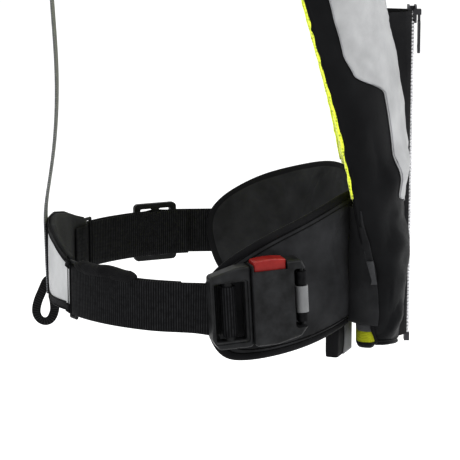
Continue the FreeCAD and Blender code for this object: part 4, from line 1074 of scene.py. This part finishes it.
def front_sleeve():
    """The short tape sleeve at the wing's lower edge: black binding tape outside, smooth cloth on its face."""
    low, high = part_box("crotch_sleeve_front")
    angle = 156.0
    forward, out = loop_forward(angle), loop_normal(angle)
    centre = loop_point(angle, -0.0132)
    corners = [(-1, -1), (1, -1), (1, 1), (-1, 1)]
    points = []
    for (sx, sy), start in zip(corners, (180, 270, 0, 90)):
        for a in np.radians(np.linspace(start, start + 90, 5)):
            u = sx * 0.0152 + 0.0022 * math.cos(a)
            v = sy * 0.0026 + 0.0022 * math.sin(a)
            points.append(centre + forward * u + out * v)
    path = even(np.vstack([points, points[:1]]), 0.0012)[:-1]
    bottom, top = low[2] - 0.0060, high[2]
    path = path + UP * (bottom + top) / 2
    obj = sweep("crotch_sleeve_tape", path, UP, flat_profile(top - bottom, 0.0015, 9), BINDING, closed=True)
    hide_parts("crotch_sleeve_front")
    share = np.linspace(0, 1, 16)
    left = -0.0050 + 0.0035 * np.sin(share * math.pi)
    across = np.linspace(0, 1, 12)
    u = left[:, None] * (1 - across) + 0.0164 * across
    z = np.broadcast_to((bottom + 0.0004 + (top - bottom - 0.0008) * share)[:, None], u.shape)
    points = centre + forward * u[..., None] + out * 0.0060 + UP * z[..., None]
    face = add_mesh("crotch_sleeve_face", points.reshape(-1, 3), grid_faces(16, 12), FACE_CLOTH)
    add_thickness(face, 0.0006, 0.0)


# ---------------------------------------------------------------- CAD nodes that stay
FINISHES = {
    BLACK_PLASTIC: ["buckle_back_shell", "buckle_front_shell", "buckle_male_half", "adjuster_left",
                    "ring_right", "ring_left"],
    RED_PLASTIC: ["release_button"],
    DARK_METAL: ["zip_slider", "zip_pull", "zip_bottom_box"],
    STEEL: ["buckle_rivets", "latch_leaf", "button_springs", "co2_cylinder",
            "piercing_pin"],
    BLADDER_FILM: ["bladder"],
    GREY_PLASTIC: ["inflator_body", "inflator_lever", "light_battery", "oral_valve"],
    YELLOW_PLASTIC: ["whistle", "manual_pull_handle", "sensor_cap"],
    CLEAR_PLASTIC: ["light_lens"],
    RUBBER: ["oral_tube", "oral_tube_cap"],
    BLACK_WEBBING: ["anchor_webbing"],
    SLEEVE_CLOTH: ["reflective_sleeve"],
}


def paint_frame():
    for mat, names in FINISHES.items():
        for name in names:
            slots = NODES[name].material_slots
            for place in slots:
                place.material = mat


# ---------------------------------------------------------------- studio
def make_studio():
    floor_z = -0.60
    floor = add_mesh("studio_floor", [(-6, -6, floor_z), (14, -6, floor_z), (14, 6, floor_z), (-6, 6, floor_z)],
                     [(0, 1, 2, 3)], floor_material(), body=None)
    for name, place, aim, size, power in (
            ("key", (-1.5, -1.3, 1.7), (0, 0, 0.1), 1.2, 32),
            ("fill", (-1.6, 1.6, 0.9), (0, 0, 0.1), 1.4, 16),
            ("front", (0.4, -2.2, 0.6), (0, 0, 0.1), 1.2, 22),
            ("top", (0.1, 0.2, 2.2), (0, 0, 0.1), 1.6, 22)):
        lamp = bpy.data.lights.new(name, "AREA")
        lamp.size, lamp.energy = size, power
        obj = bpy.data.objects.new(name, lamp)
        obj.location = place
        direction = np.array(aim) - np.array(place)
        obj.rotation_euler = look(direction)
        bpy.context.scene.collection.objects.link(obj)
    world = bpy.data.worlds.new("studio")
    world.use_nodes = True
    world.node_tree.nodes["Background"].inputs[0].default_value = (1, 1, 1, 1)
    world.node_tree.nodes["Background"].inputs[1].default_value = 0.95
    bpy.context.scene.world = world
    bpy.context.scene.view_settings.view_transform = "Standard"
    bpy.context.scene.view_settings.gamma = 0.84


def floor_material():
    mat, tree, shader = new_material("pale_floor", (0.9, 0.9, 0.9), 0.9)
    tint(tree, shader, noise_node(tree, coordinates(tree), 0.5), (0.92, 0.92, 0.92), (0.94, 0.94, 0.94))
    shader.inputs["Emission Color"].default_value = (1, 1, 1, 1)
    shader.inputs["Emission Strength"].default_value = 0.20
    return mat


def look(direction):
    from mathutils import Vector
    return Vector(direction).to_track_quat("-Z", "Y").to_euler()


def make_camera():
    elevation = math.radians(12)
    aim, distance = np.array([-0.140, -0.0146, 0.059]), 1.66
    back = np.array([-math.cos(elevation), 0, math.sin(elevation)])
    data = bpy.data.cameras.new("camera")
    data.sensor_width, data.lens = 36.0, 168.7
    obj = bpy.data.objects.new("camera", data)
    obj.location = aim + back * distance
    obj.rotation_euler = look(-back)
    bpy.context.scene.collection.objects.link(obj)
    bpy.context.scene.camera = obj


make_camera()
make_studio()
make_pad()
for SIDE, SIGN in (("right", 1), ("left", -1)):
    wing(SIDE, SIGN)
    belt_keeper(SIDE, SIGN)
    wing_join(SIDE, SIGN)
    lobe_tongue(SIDE, SIGN)
make_back()
make_webbing()
zip_tapes()
zip_teeth()
front_sleeve()
paint_frame()
